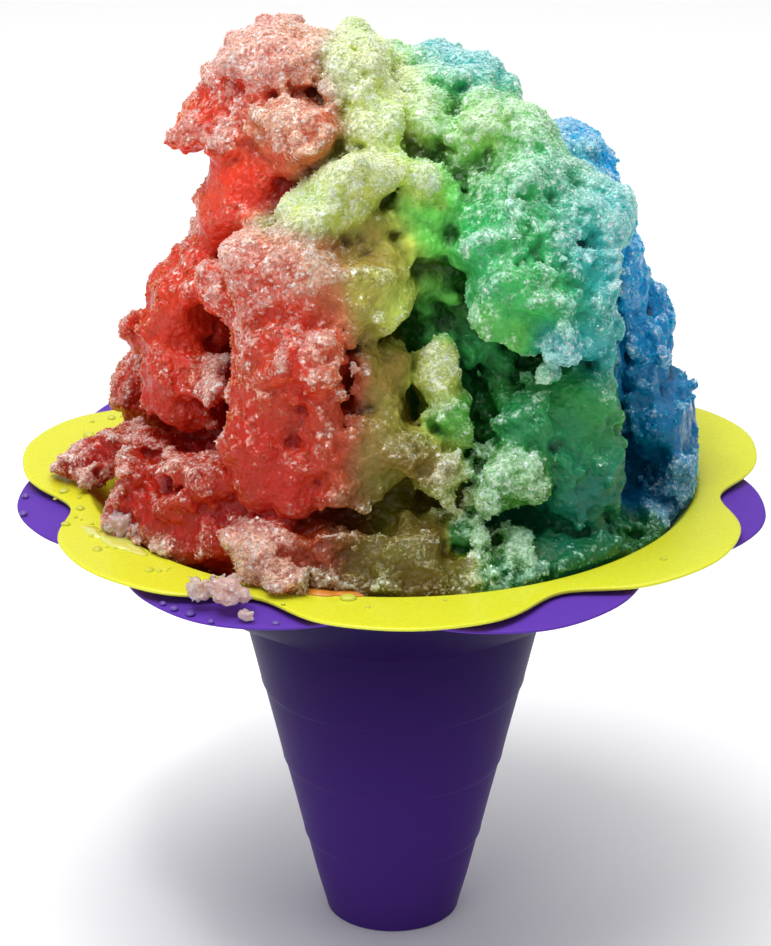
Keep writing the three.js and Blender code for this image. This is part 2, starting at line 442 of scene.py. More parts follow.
def syrup_group() -> bpy.types.NodeTree:
    """Builds the node group that colours ice by its syrup and its frost, with painted shade and painted
    glints.

    Returns:
        The group. Frosting says how much frost shows, the second input how far painted shade darkens
        the hollows and the low parts, where some syrup has also soaked down, Facet how far each
        crystal's face is turned from the surface, and Rinse how much of its syrup has been
        washed out.
    """
    tree = bpy.data.node_groups.new("syruped ice", "ShaderNodeTree")
    value = "NodeSocketFloat"
    named_sockets(tree, "INPUT", {"Frosting": value, "Depth": value, "Facet": value, "Rinse": value})
    results = {"Color": "NodeSocketColor", "Frost": value, "Relief": value, "Normal": "NodeSocketVector"}
    named_sockets(tree, "OUTPUT", results)
    graph = Graph(tree)
    given = graph.add("NodeGroupInput").outputs
    place = graph.add("ShaderNodeTexCoord").outputs["Object"]
    stripe, recess, frost = (
        graph.add("ShaderNodeAttribute", attribute_name=name).outputs["Fac"]
        for name in ("stripe", "recess", "frost")
    )
    drift = graph.noise(place, 70.0, 3.0)
    patch = graph.noise(place, 160.0, 4.0)
    pits = graph.noise(place, 1400.0, 2.0)
    grain, crumbs = (
        graph.add("ShaderNodeTexVoronoi", {"Vector": place, "Scale": scale}, feature="F1").outputs
        for scale in (1500.0, 620.0)
    )
    relief = graph.math("MULTIPLY_ADD", pits, 0.5, graph.math("SUBTRACT", 1.0, crumbs["Distance"]))
    wander = graph.math("MULTIPLY_ADD", graph.math("SUBTRACT", drift, 0.5), 0.2, stripe)
    stripes = Stripes()
    deep_shade = stripes.ramp(graph, wander, stripes.deep_shade)
    body = stripes.ramp(graph, wander, stripes.body)
    pale = stripes.ramp(graph, wander, stripes.frost)
    height = graph.add("ShaderNodeSeparateXYZ", {0: place}).outputs[2]
    # Painted shade: the colour turns to the deep ramp in the hollows and towards the foot, where some
    # syrup has also soaked down.
    soaked_and_shaded = graph.remap(height, 0.108, 0.185, 0.85, 0.0)
    hollow = graph.math("ADD", graph.remap(recess, 0.38, 0.85), soaked_and_shaded)
    sunk = graph.math("MULTIPLY", hollow, given["Depth"], clamp=True)
    wet = graph.mix(sunk, body, deep_shade)
    # The frost mask carries painted light higher up and on faces turned towards the key lamp.
    uneven = graph.math("MULTIPLY_ADD", graph.math("SUBTRACT", patch, 0.5), 0.8, frost)
    single = graph.add("ShaderNodeSeparateColor", {0: grain["Color"]}).outputs[0]
    speckled = graph.math("MULTIPLY_ADD", graph.math("SUBTRACT", single, 0.5), 0.36, uneven)
    crust = graph.math("MULTIPLY", graph.remap(speckled, 0.3, 1.1), given["Frosting"], clamp=True)
    frosted = graph.mix(crust, wet, pale)
    # Painted glints: a few grain cells in the frost are turned nearly white.
    share = graph.math("MULTIPLY", crust, 0.8)
    painted_glint = graph.math("MULTIPLY", graph.remap(single, 0.84, 0.92), share, clamp=True)
    colour = graph.mix(painted_glint, frosted, srgb(252, 252, 250))
    middle = {0: grain["Color"], 1: (0.5, 0.5, 0.5)}
    tilt = graph.add("ShaderNodeVectorMath", middle, operation="SUBTRACT")
    turn = graph.math("MULTIPLY", graph.math("MULTIPLY_ADD", crust, 0.7, 0.3), given["Facet"])
    lean = graph.add("ShaderNodeVectorMath", {0: tilt.outputs[0], "Scale": turn}, operation="SCALE")
    normal = graph.add("ShaderNodeNewGeometry").outputs["Normal"]
    leaned = graph.add("ShaderNodeVectorMath", {0: normal, 1: lean.outputs[0]}, operation="ADD")
    facing = graph.add("ShaderNodeVectorMath", {0: leaned.outputs[0]}, operation="NORMALIZE")
    washed = graph.mix(given["Rinse"], colour, srgb(192, 178, 192))
    results = {"Color": washed, "Frost": crust, "Relief": relief, "Normal": facing.outputs[0]}
    graph.add("NodeGroupOutput", results)
    return tree


@dataclass(frozen=True)
class IceFinish:
    """How one kind of ice takes its colour and light.

    Frosting, depth, facet and rinse are the syrup group's inputs; depth is how far painted shade
    darkens the hollows and the low parts. Glow is how much light scatters inside, the painted
    glow is a faint light that the ice gives off in its own colour, and roughness runs from wet
    ice to frosted ice.
    """

    name: str
    frosting: float = 1.0
    depth: float = 1.0
    facet: float = 0.6
    roughness: tuple[float, float] = (0.2, 0.26)
    bump: float = 0.9
    glow: float = 0.9
    see_through: float = 0.0
    rinse: float = 0.0
    painted_glow: float = 0.05

    def material(self, syrup: bpy.types.NodeTree) -> bpy.types.Material:
        """Builds the material.

        Args:
            syrup: The shared group that colours ice.

        Returns:
            The material.
        """
        made, graph, shader = blank_material(self.name)
        given = {
            "Frosting": self.frosting,
            "Depth": self.depth,
            "Facet": self.facet,
            "Rinse": self.rinse,
        }
        tint = graph.add("ShaderNodeGroup", given, node_tree=syrup).outputs
        relief = {
            "Strength": self.bump,
            "Distance": 0.8 * MM,
            "Height": tint["Relief"],
            "Normal": tint["Normal"],
        }
        bump = graph.add("ShaderNodeBump", relief)
        look = {
            "Base Color": tint["Color"],
            # Painted glow: the ice gives off a faint light in its own colour.
            "Emission Color": tint["Color"],
            "Coat Weight": graph.remap(tint["Frost"], 0, 1, 0.1, 0.5),
            "Roughness": graph.remap(tint["Frost"], 0, 1, *self.roughness),
            "Normal": bump.outputs[0],
            "IOR": 1.31,
            "Subsurface Weight": self.glow,
            "Subsurface Radius": (1.0, 0.75, 0.65),
            "Subsurface Scale": 5.0 * MM,
            "Transmission Weight": self.see_through,
            "Emission Strength": self.painted_glow,
            "Coat Roughness": 0.05,
        }
        graph.feed(shader, look)
        return made


@dataclass(frozen=True)
class PlasticFinish:
    """Thin moulded plastic with faint flow marks and fine scuffs.

    Above a height in millimetres its brim keeps the plain colour, while the body below is
    darkened with painted shade, which gives way to painted light from the floor towards its
    foot. Glow is how much light scatters in the wall, and bend is its index of refraction,
    low where its sheen is faint.
    """

    name: str
    colour: Colour
    body: Colour
    foot: Colour
    brim_from: float
    roughness: float = 0.3
    glow: float = 0.0
    bend: float = 1.12
    scuff: float = 0.02

    def material(self) -> bpy.types.Material:
        """Builds the material.

        Returns:
            The material.
        """
        made, graph, shader = blank_material(self.name)
        place = graph.add("ShaderNodeTexCoord").outputs["Object"]
        stretch = graph.add("ShaderNodeMapping", {"Vector": place, "Scale": (1.0, 1.0, 0.12)}).outputs[0]
        cloud = graph.noise(place, 30.0, 3.0)
        marks = graph.noise(stretch, 700.0, 4.0)
        peel = graph.noise(place, 260.0, 1.0)
        height = graph.add("ShaderNodeSeparateXYZ", {0: place}).outputs[2]
        start = self.brim_from * MM
        # Painted shade: below the brim the body turns dark, and paler again towards the foot with painted
        # light from the floor.
        thin = graph.remap(graph.math("MULTIPLY_ADD", cloud, 2 * MM, height), start, start + 6 * MM)
        painted_shade_and_floor_light = graph.mix(graph.remap(height, 0, start), srgb(*self.foot), srgb(*self.body))
        uneven = graph.math("SUBTRACT", marks, 0.5)
        bump = graph.add("ShaderNodeBump", {"Strength": 0.03, "Distance": 0.2 * MM, "Height": peel})
        look = {
            "Base Color": graph.mix(thin, painted_shade_and_floor_light, srgb(*self.colour)),
            "Roughness": graph.math("MULTIPLY_ADD", uneven, 4 * self.scuff, self.roughness),
            "Normal": bump.outputs[0],
            "IOR": self.bend,
            "Subsurface Weight": self.glow,
            "Subsurface Radius": (1.0, 1.0, 0.4),
            "Subsurface Scale": 1.5 * MM,
        }
        graph.feed(shader, look)
        return made


@dataclass(frozen=True)
class WaterFinish:
    """Clear melt water, faintly tinted."""

    name: str
    colour: Colour
    clear: float = 0.3

    def material(self) -> bpy.types.Material:
        """Builds the material.

        Returns:
            The material.
        """
        made, graph, shader = blank_material(self.name)
        cloud = graph.noise(graph.add("ShaderNodeTexCoord").outputs["Object"], 120.0, 2.0)
        pale = srgb(*(0.85 * part + 38 for part in self.colour))
        look = {
            "Base Color": graph.mix(graph.remap(cloud, 0.3, 0.7), srgb(*self.colour), pale),
            "Roughness": graph.remap(cloud, 0.3, 0.7, 0.02, 0.06),
            "IOR": 1.33,
            "Transmission Weight": self.clear,
        }
        graph.feed(shader, look)
        return made


# ---- the two petalled cups ----


@dataclass(frozen=True)
class Petals:
    """The outline of a seven-petalled brim, as a radius that waves with the angle."""

    mean: float
    waves: tuple[float, ...]
    turn: float
    count: int = 7
    lift: float = 0.0

    def radius(self, angle: np.ndarray) -> np.ndarray:
        """The outline's radius at each angle.

        Args:
            angle: Angles about the cup's axis, in radians.

        Returns:
            Radii in millimetres.
        """
        along = self.count * (angle - math.radians(self.turn))
        waves = (wave * np.cos((i + 1) * along) for i, wave in enumerate(self.waves))
        return self.mean + sum(waves)

    def rise(self, angle: np.ndarray) -> np.ndarray:
        """How far each petal's edge curls up, in millimetres.

        Args:
            angle: Angles about the cup's axis, in radians.

        Returns:
            Heights in millimetres.
        """
        along = self.count * (angle - math.radians(self.turn))
        return self.lift * np.cos(along) + 0.4 * self.lift * np.sin(2 * angle + 0.7)


@dataclass
class TurnedShell:
    """A shell turned about the cup's axis, whose brim is pulled out to petals."""

    petals: Petals
    brim_from: float
    columns: int = 280

    def mesh(self, name: str, profile: Profile, closed: bool) -> bpy.types.Mesh:
        """Turns a profile.

        Args:
            name: The mesh's name.
            profile: Radius and height of each ring, in order up the outside and down the inside.
            closed: Whether the profile is a ring of its own. If not, it starts and ends on the axis.

        Returns:
            The mesh, facing outwards.
        """
        rings = profile if closed else profile[1:-1]
        angle = np.arange(self.columns) * TAU / self.columns
        rim = self.petals.radius(angle)
        points = []
        for radius, height in rings:
            spread = np.full(self.columns, radius)
            lift = np.zeros(self.columns)
            if radius > self.brim_from:
                share = (radius - self.brim_from) / (self.petals.mean - self.brim_from)
                spread = self.brim_from + share * (rim - self.brim_from)
                lift = self.petals.rise(angle) * share**2
            ring = [spread * np.cos(angle), spread * np.sin(angle), height + lift]
            points.append(np.stack(ring, axis=1))
        faces = []
        last = len(rings) if closed else len(rings) - 1
        for number in range(last):
            low = number * self.columns
            high = (number + 1) % len(rings) * self.columns
            for i in range(self.columns):
                j = (i + 1) % self.columns
                faces.append((low + i, low + j, high + j, high + i))
        if not closed:
            total = len(rings) * self.columns
            points.append(np.array([[0, 0, profile[0][1]], [0, 0, profile[-1][1]]]))
            top = (len(rings) - 1) * self.columns
            for i in range(self.columns):
                j = (i + 1) % self.columns
                faces.append((total, j, i))
                faces.append((total + 1, top + i, top + j))
        return mesh_from(name, np.concatenate(points), faces)


def arc(centre: tuple[float, float], radius: float, start: float, end: float, steps: int) -> Profile:
    """Points along an arc in the profile's plane.

    Args:
        centre: The arc's centre, as radius and height.
        radius: The arc's radius.
        start, end: Angles in degrees, 0 pointing away from the axis and 90 up.
        steps: How many steps it takes.

    Returns:
        The points.
    """
    angles = np.radians(np.linspace(start, end, steps + 1))
    return [(centre[0] + radius * math.cos(a), centre[1] + radius * math.sin(a)) for a in angles]


@dataclass
class ConeCup:
    """The tall purple cup: a ribbed cone on a flat foot, a flared bowl and a petalled brim."""

    top: float
    base_radius: float = 15.7
    shoulder_radius: float = 35.3
    shoulder_height: float = 80.0
    segments: int = 4
    rib_step: float = 0.2
    wall: float = 1.0
    floor: float = 1.6
    mouth_radius: float = 70.4
    mouth_height: float = 107.4
    bowl_start: float = 62.0
    bowl_end: float = 37.0
    thickness: float = 0.8
    droop: float = 0.6
    petals: Petals = Petals(81.5, (4.7, -0.9, 0.3), -67.0, lift=-0.35)
    rib_face: tuple[tuple[float, float], ...] = (
        (-2.2, -0.55),
        (-0.7, -1.0),
        (-0.25, -0.9),
        (0.15, 0.75),
        (0.6, 1.0),
        (2.6, 0.35),
    )
    finish: PlasticFinish = PlasticFinish(
        "purple plastic",
        colour=(90, 54, 158),
        # body is the cup's colour under painted shade below the brim, foot a paler painted light from the
        # floor.
        body=(24, 8, 56),
        foot=(66, 37, 116),
        brim_from=102.0,
        roughness=0.4,
    )

    def cone_radius(self, height: float) -> float:
        """The cone's outer radius at a height."""
        share = height / self.shoulder_height
        return self.base_radius + (self.shoulder_radius - self.base_radius) * share

    def ribs(self) -> Profile:
        """The cone's stepped outer face, from its foot to its shoulder.

        Returns:
            The profile's points.
        """
        pitch = self.shoulder_height / self.segments
        points = []
        for i in range(1, self.segments + 1):
            height = i * pitch
            for offset, share in self.rib_face:
                if i == self.segments and offset > 0:
                    continue
                radius = self.cone_radius(height + offset) + share * self.rib_step
                points.append((radius, height + offset))
            if i < self.segments:
                middle = height + pitch / 2
                points.append((self.cone_radius(middle) - 0.05, middle))
        return points

    def bowl(self, inset: float, steps: int = 18) -> Profile:
        """The bowl's face from the shoulder up to the mouth.

        Args:
            inset: How far the face is set in from the outer one.
            steps: How many steps it takes.

        Returns:
            The profile's points.
        """
        start = np.array([self.shoulder_radius, self.shoulder_height])
        end = np.array([self.mouth_radius, self.mouth_height])
        leave, arrive = (
            np.array([math.sin(slope), math.cos(slope)])
            for slope in (math.radians(self.bowl_start), math.radians(self.bowl_end))
        )
        chord = end - start
        spread = leave[0] * arrive[1] - leave[1] * arrive[0]
        reach = (chord[0] * arrive[1] - chord[1] * arrive[0]) / spread
        elbow = start + leave * reach
        points = []
        for i in range(steps + 1):
            t = i / steps
            point = (1 - t) ** 2 * start + 2 * t * (1 - t) * elbow + t**2 * end
            along = 2 * (1 - t) * (elbow - start) + 2 * t * (end - elbow)
            along /= np.linalg.norm(along)
            points.append((point[0] - along[1] * inset, point[1] + along[0] * inset))
        return points

    def profile(self) -> Profile:
        """The whole profile, up the outside and down the inside.

        Returns:
            The profile's points, from the axis to the axis.
        """
        rim = self.top - self.droop
        inside = self.bowl(self.wall)[::-1]
        mouth = inside[0][0]
        half = self.thickness / 2
        edge = arc((self.petals.mean - half, rim - half), half, -80, 80, 6)
        lip = [(mouth + 1.6, self.top), (mouth + 0.8, self.top - 0.15), (mouth + 0.3, self.top - 0.6)]
        return [
            (0, 0),
            (self.base_radius - 2.4, 0),
            (self.base_radius - 0.8, 0),
            *arc((self.base_radius - 0.7, 0.7), 0.7, -80, 10, 4),
            (self.base_radius + 0.3, 2.0),
            (self.cone_radius(9.0), 9.0),
            *self.ribs(),
            *self.bowl(0),
            (self.mouth_radius + 0.9, self.top - self.thickness - 0.35),
            (self.mouth_radius + 2.0, self.top - self.thickness),
            (self.petals.mean - 5.5, rim - self.thickness + 0.25),
            (self.petals.mean - 1.2, rim - self.thickness + 0.02),
            *edge,
            (self.petals.mean - 1.2, rim),
            (self.petals.mean - 5.5, rim + 0.25),
            (mouth + 3.2, self.top - 0.02),
            *lip,
            *inside,
            (self.base_radius - self.wall, self.floor + 1.0),
            (self.base_radius - self.wall - 1.0, self.floor),
            (0, self.floor),
        ]

    def build(self) -> bpy.types.Object:
        """Makes the cup in place of its plain solid.

        Returns:
            The cup.
        """
        shell = TurnedShell(self.petals, self.mouth_radius + 1.8)
        piece = object_from("cone_cup", shell.mesh("cone_cup", self.profile(), closed=False))
        piece.data.materials.append(self.finish.material())
        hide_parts("cup")
        return piece


@dataclass
class PetalCollar:
    """The yellow petalled collar nested in the cup's mouth."""

    top: float
    thickness: float = 0.8
    mouth_radius: float = 68.7
    wall_drop: float = 8.0
    lip: float = 0.9
    slope: float = 37.0
    petals: Petals = Petals(81.7, (5.3, -1.3, 0.4), -87.4, lift=0.35)
    finish: PlasticFinish = PlasticFinish(
        "yellow plastic",
        colour=(204, 206, 42),
        # body and foot are a little darker than the brim: painted shade, as on the cup.
        body=(198, 202, 44),
        foot=(198, 202, 44),
        brim_from=104.0,
        roughness=0.27,
        glow=0.15,
        bend=1.45,
    )

    def inner(self, height: float) -> float:
        """The collar wall's inner radius at a height."""
        return self.mouth_radius - (self.top - self.lip - height) * math.tan(math.radians(self.slope))

    def profile(self) -> Profile:
        """The collar's profile, a ring of its own.

        Returns:
            The profile's points.
        """
        low = self.top - self.lip - self.wall_drop
        high = self.top - self.thickness
        across = self.thickness / math.cos(math.radians(self.slope))
        half = self.thickness / 2
        mean = self.petals.mean
        return [
            (self.inner(low) + across, low),
            (self.inner(low + 3) + across, low + 3),
            (self.inner(high - 1) + across, high - 1),
            (self.inner(high) + across + 0.5, high - 0.1),
            (self.mouth_radius + 3.0, high),
            (mean - 5.5, high),
            (mean - 1.2, high),
            *arc((mean - half, self.top - half), half, -80, 80, 6),
            (mean - 1.2, self.top),
            (mean - 5.5, self.top),
            (self.mouth_radius + 2.6, self.top),
            *arc((self.mouth_radius + 1.3, self.top - 1.3), 1.3, 85, 150, 5),
            (self.inner(self.top - 2.2), self.top - 2.2),
            (self.inner(low + 3), low + 3),
            (self.inner(low), low),
        ]

    def build(self) -> bpy.types.Object:
        """Makes the collar in place of its plain solid.

        Returns:
            The collar.
        """
        shell = TurnedShell(self.petals, self.mouth_radius + 2.2)
        piece = object_from("yellow_collar", shell.mesh("yellow_collar", self.profile(), closed=True))
        piece.data.materials.append(self.finish.material())
        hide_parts("petal_collar")
        return piece


# ---- the heap of ice ----


class Syrup(Enum):
    """The syrups, valued by their place along the stripe ramps."""

    RED = 0.0
    ROSE = 0.1
    AMBER = 0.2
    OLIVE = 0.3
    LIME = 0.4
    SPRING = 0.52
    GREEN = 0.64
    SEA = 0.73
    TEAL = 0.82
    BLUE = 1.0


@dataclass(frozen=True)
class Lump:
    """One rough lump, in millimetres about the centre of the cup's mouth.

    Width, depth and height are half its size, and rise is above the mouth. Lean turns it in
    the plane of x and rise, in degrees. Block is 2 for an egg and more for a squarer lump,
    and frost is added to what its place gives it.
    """

    x: float
    y: float
    rise: float
    width: float
    depth: float
    height: float
    syrup: Syrup
    lean: float = 0.0
    block: float = 2.6
    frost: float = 0.0


RED, ROSE, AMBER, OLIVE, LIME, SPRING, GREEN, SEA, TEAL, BLUE = Syrup

FRONT_LUMPS = (
    # the crown, from left to right
    Lump(-27, -2, 97, 10, 12, 10, RED, frost=0.45),
    Lump(-33.5, -4, 89, 6, 10, 7, RED, frost=0.15),
    Lump(-19, -4, 98, 8, 11, 9, ROSE, frost=0.5),
    Lump(-8, -3, 95.5, 8, 12, 10, LIME, frost=0.35),
    Lump(-9, -3, 106.6, 4.2, 6, 3.8, LIME, frost=0.4),
    Lump(-4.5, -4, 102.5, 4, 6, 4, LIME, frost=0.5),
    Lump(2, -1, 90, 7, 10, 8, LIME, frost=0.35),
    Lump(11.5, 4, 91, 9, 12, 8, TEAL, frost=0.2),
    Lump(20, 1, 86, 5.6, 10, 6.4, SEA, frost=0.0),
    Lump(2, -8, 82, 11.5, 14, 13.5, LIME, frost=0.35),
    Lump(10, -12, 79, 9, 12, 12, SPRING, frost=0.2),
    Lump(-14, -8, 86, 8, 12, 11, OLIVE, frost=0.1),
    Lump(-9, -14, 93, 6.4, 8, 13, LIME, 0, 3.0, 0.4),
    Lump(-5, -20, 87, 7.4, 9, 11, LIME, 0, 3.0, 0.35),
    Lump(-12, -22, 81, 5, 7, 7, LIME, 0, 2.8, 0.2),
    # the shelf that juts out over the red side
    Lump(-38.5, -5, 87, 8.4, 9, 4.4, RED, 14, 3.0, -0.2),
    Lump(-44.5, -6, 84, 4.4, 7, 3.2, RED, 20, 3.0, -0.25),
    Lump(-34, -13, 84.5, 6.2, 7, 3, RED, 0, 2.6, 0.3),
    Lump(-29, -8, 86, 7, 10, 8, RED),
    # the round boulder beside it
    Lump(-20, -23, 87, 9.2, 11, 9.6, ROSE, 0, 2.2, 0.1),
    # the red side, down to the brim
    Lump(-31.5, -12, 72, 7.4, 12, 10, RED, -10, 2.8, -0.4),
    Lump(-36.5, -10, 64.5, 4.2, 10, 6, RED, 10, 2.8, -0.2),
    Lump(-28, -18, 69, 7, 9, 8, RED, 0, 2.6, -0.3),
    Lump(-24, -19, 78, 7, 7, 6, RED, 0, 2.8, -0.3),
    Lump(-40.5, -10, 53, 6, 11, 6, RED, 20, 2.8, -0.2),
    Lump(-46.5, -8, 44.5, 8.8, 13, 8, RED, 12, 3.0, -0.3),
    Lump(-52.5, -6, 34, 5, 11, 6, RED, 20, 2.6, -0.1),
    Lump(-47, -16, 28.5, 9.2, 14, 9, RED, -4, 3.0, -0.25),
    Lump(-38, -28, 52, 4.6, 8, 6, RED, 0, 2.4, -0.2),
    Lump(-40, -30, 34, 4, 8, 4, RED, 0, 2.4, 0.2),
    # the broad red pillar
    Lump(-24, -38, 57, 11.6, 12, 11.5, RED, 6, 2.7, 0.25),
    Lump(-30, -38, 63, 5.6, 8, 6.4, RED, 20, 2.6, 0.2),
    Lump(-23.5, -43, 41, 12.6, 13, 13.5, RED, 6, 2.7, 0.05),
    Lump(-23.5, -45, 24.5, 13.4, 14, 13.5, RED, -6, 2.6, -0.12),
    Lump(-13, -48, 34, 4.8, 9, 15, ROSE, 4, 3.0, -0.1),
    # the wet ice at the red foot
    Lump(-43, -36, 9, 11.2, 13, 7.6, RED, 8, 3.0, -0.2),
    Lump(-37, -40, 16, 8, 10, 4.4, RED, 24, 2.8),
    Lump(-52, -26, 11, 8.4, 12, 4.4, RED, -6, 2.8),
    Lump(-56, -33, 3, 6, 7, 5, RED, 0, 2.6, 0.1),
    Lump(-27.5, -53, 6.5, 8.8, 8, 6.4, RED, 0, 2.4, 0.45),
    Lump(-37, -47, 4, 6.6, 9, 5, RED, 0, 2.8, 0.05),
    Lump(-29, -61, 5.6, 6.2, 5.4, 4.8, ROSE, 0, 2.4, 0.5),
    Lump(-25, -65.5, 3.4, 4.4, 3.6, 2.8, ROSE, 0, 2.2, 0.4),
    Lump(-33.5, -60, 4.6, 4, 5, 4, ROSE, 10, 2.4, 0.6),
    Lump(-17, -66.5, 2.6, 3.4, 2.6, 2.2, AMBER, 0, 2.2, 0.3),
    Lump(-48, -43, 1, 7, 6, 4, ROSE, 0, 2.8, 0.2),
    Lump(-18, -54, 4, 8.4, 8.5, 6.8, ROSE, 0, 3.0, -0.25),
    Lump(-9.5, -51, 12, 5, 9, 10, AMBER, 0, 3.0, -0.25),
    Lump(-66, -6, 4.6, 9.5, 5, 3.6, RED, 10, 2.2, 0.15),
    Lump(-71.5, -2.5, 3.2, 8, 3.6, 2.4, RED, 6, 2.2, 0.2),
    Lump(-59, -7, 7.5, 7, 6.4, 4.2, RED, 14, 2.6, -0.1),
    # the pale tongue and the nub beside it
    Lump(-7.5, -33, 80, 8.4, 9, 6, LIME, 38, 3.0, 0.35),
    Lump(-15.5, -34, 74, 8, 9, 5.4, LIME, 38, 3.0, 0.3),
    Lump(-23.5, -34, 68, 6.6, 8, 4.6, OLIVE, 30, 2.8, 0.3),
    Lump(-6, -33, 67, 7, 7, 7, OLIVE, 20, 2.8, -0.3),
    Lump(2, -28, 67, 8, 7, 10, SPRING, 10, 2.8, -0.7),
    Lump(6, -29, 77.5, 3.8, 6, 4.2, LIME, 30, 2.6, 0.55),
    Lump(10, -28, 74, 2.2, 4, 2.6, LIME, 0, 2.2, 0.5),
    # the lime boulder below the tongue
    Lump(-4.5, -40, 59, 8.6, 10, 9, OLIVE, 0, 3.0, -0.28),
    Lump(0.5, -41, 55, 4.2, 8, 5.6, LIME, 0, 2.4, 0.1),
    Lump(-15, -39, 60, 6.6, 10, 9.6, AMBER, 0, 2.8, 0.35),
    Lump(-9, -40, 50, 5.6, 8, 5, OLIVE, 0, 2.8, 0.1),
    # the olive clumps down to the brim
    Lump(-3, -41, 36, 6.4, 9, 9.5, OLIVE, 0, 3.0, -0.4),
    Lump(-4.5, -48.5, 23, 7, 9, 10, OLIVE, 0, 3.2, -0.25),
    Lump(9, -43, 38.5, 4.8, 8, 4.8, LIME, 0, 2.6, 0.1),
    Lump(13, -44.5, 28.5, 5.2, 8, 7, SPRING, 0, 2.8, -0.1),
    Lump(4.5, -51, 24, 8, 8, 4.4, OLIVE, -40, 3.0, 0.05),
    Lump(11, -54, 17.5, 5.4, 7, 3.8, LIME, -12, 2.8, 0.25),
    Lump(0.5, -56, 3.8, 11.4, 8, 5.6, OLIVE, 0, 3.4, -0.15),
    Lump(-14, -61, 0.5, 9, 5, 2.4, AMBER, 0, 2.6, 0.2),
    Lump(8, -62, 0, 10, 5, 2.2, OLIVE, 0, 2.6, 0.1),
    Lump(24, -60, -0.5, 10, 5, 2.6, GREEN, 0, 2.6, 0.15),
    Lump(38, -52, -1, 9, 6, 3, SEA, 0, 2.6, 0.1),
    Lump(-1, -45, 11, 9, 9, 5, OLIVE, 0, 2.8, -0.4),
    # the set-back green wall behind the crevice
    Lump(10, -25, 60, 9, 10, 15, SPRING, 0, 3.0, -0.7),
    Lump(1, -22, 73, 9, 10, 11, SPRING, 0, 3.0, -0.4),
    Lump(17, -24, 36, 11, 10, 13, GREEN, 0, 3.0, -0.4),
    # the overhanging green wing
    Lump(21, -16, 82, 10.6, 14, 10.5, SPRING, -20, 2.8, 0.2),
    Lump(29, -22, 75, 11.4, 15, 10.8, GREEN, -30, 3.0, 0.2),
    Lump(26, -32, 65.5, 12, 14, 11, GREEN, -30, 3.2, -0.05),
    Lump(37.5, -26, 66, 10.4, 16, 12.4, TEAL, -30, 3.0, 0.22),
    Lump(29, -38.5, 56.5, 9.6, 13, 8, GREEN, -10, 3.2, -0.05),
    Lump(40, -32, 54, 8.8, 14, 10.5, TEAL, 0, 3.2, 0.05),
    Lump(20.5, -45, 54, 3, 6, 4.2, SPRING, 0, 2.4),
    Lump(25.5, -46, 51.5, 3, 6, 3.8, SPRING, 0, 2.4),
    Lump(34, -46, 50.5, 4.4, 6, 4, TEAL, 30, 2.6, 0.35),
    Lump(43.5, -27, 41, 7.6, 12, 11, TEAL, 0, 3.2, -0.05),
    Lump(28, -48, 42.5, 2.8, 4, 2.6, GREEN, 0, 2.2, 0.6),
    # below the wing
    Lump(37, -32, 28, 12.4, 14, 11, GREEN, 6, 2.8, -0.35),
    Lump(39, -37, 12, 12, 14, 11, SEA, -8, 2.8, -0.35),
    Lump(36, -42, -3, 13, 14, 6.5, GREEN, 0, 3.2, -0.4),
    Lump(27, -41, 26, 4.6, 9, 8, GREEN, 0, 2.8, -0.2),
    Lump(24.5, -51, 18, 7, 9, 7, SPRING, 20, 2.4, 0.4),
    Lump(19, -55, 7.5, 3, 5, 3.6, SPRING, 0, 2.4, 0.45),
    Lump(27, -57, 3.2, 2.4, 4, 3.6, SPRING, 0, 2.4, 0.5),
    Lump(14, -54.5, 7, 2.6, 4, 2.8, GREEN, 0, 2.4, 0.1),
    Lump(20, -48, -2, 9, 9, 4.6, GREEN, 0, 2.8, 0.0),
    # the blue ridge at the right
    Lump(37, 1, 75.5, 6.4, 10, 6.8, BLUE, -30, 2.8, 0.05),
    Lump(43.5, 1, 68.5, 6.6, 12, 7.4, BLUE, -30, 2.8, 0.05),
    Lump(51, 2, 55, 5, 11, 7, BLUE, 0, 2.8, 0.05),
    Lump(47.5, -5, 63, 4.4, 8, 7, BLUE, 0, 2.8, 0.0),
    Lump(49.5, 1, 46, 6.8, 14, 10, BLUE, -8, 3.0, -0.05),
    Lump(54, 0, 29, 6.8, 14, 9.6, BLUE, -8, 3.0, -0.15),
    Lump(60, -4, 15, 7.6, 14, 9, BLUE, 0, 3.0, -0.25),
    Lump(65, -13, 4.5, 5, 8, 6, BLUE, 0, 2.6, 0.4),
)

CORE_LUMPS = (
    Lump(9, -10, -5, 54, 57, 8, RED, block=2.0),
    Lump(0, 1, -12, 56, 53, 30, RED),
    Lump(1, 3, 14, 46, 42, 30, RED),
    Lump(3, 4, 40, 39, 34, 28, RED),
    Lump(1, 4, 60, 31, 28, 22, RED),
    Lump(-7, 2, 78, 21, 18, 17, RED),
)

CREVICES = (
    Lump(19.5, -50, 34, 2.6, 16, 13, GREEN, 0, 2.0),
    Lump(19, -48, 45, 8, 14, 6, GREEN, -20, 2.2),
    Lump(18.5, -58, 20, 1.8, 12, 9, GREEN, 8, 2.0),
    Lump(-42, -45, 21.5, 6.4, 9.6, 3.0, RED, -10, 2.2),
    Lump(-37, -46, 42, 1.3, 11, 14, RED, -8, 2.0),
    Lump(-42, -9, 79.0, 4.5, 9, 1.3, RED, -14, 2.0),
    Lump(-8, -57, 12.5, 12, 10, 2.6, OLIVE, 6, 2.2),
    Lump(6, -57, 11, 10, 9, 3.0, OLIVE, 0, 2.2),
    Lump(-9.5, -54, 42, 1.2, 8, 10, ROSE, 4, 2.0),
    Lump(53, -26, 9, 4.0, 16, 13, TEAL, 0, 2.2),
    Lump(51, -22, 34, 1.6, 14, 18, TEAL, 4, 2.0),
    Lump(46, -14, 64, 1.8, 12, 9, TEAL, 20, 2.0),
    Lump(33, -6, 80, 1.6, 10, 5, TEAL, 30, 2.0),
    Lump(-52, -36, 14, 7, 10, 1.8, RED, -16, 2.0),
)


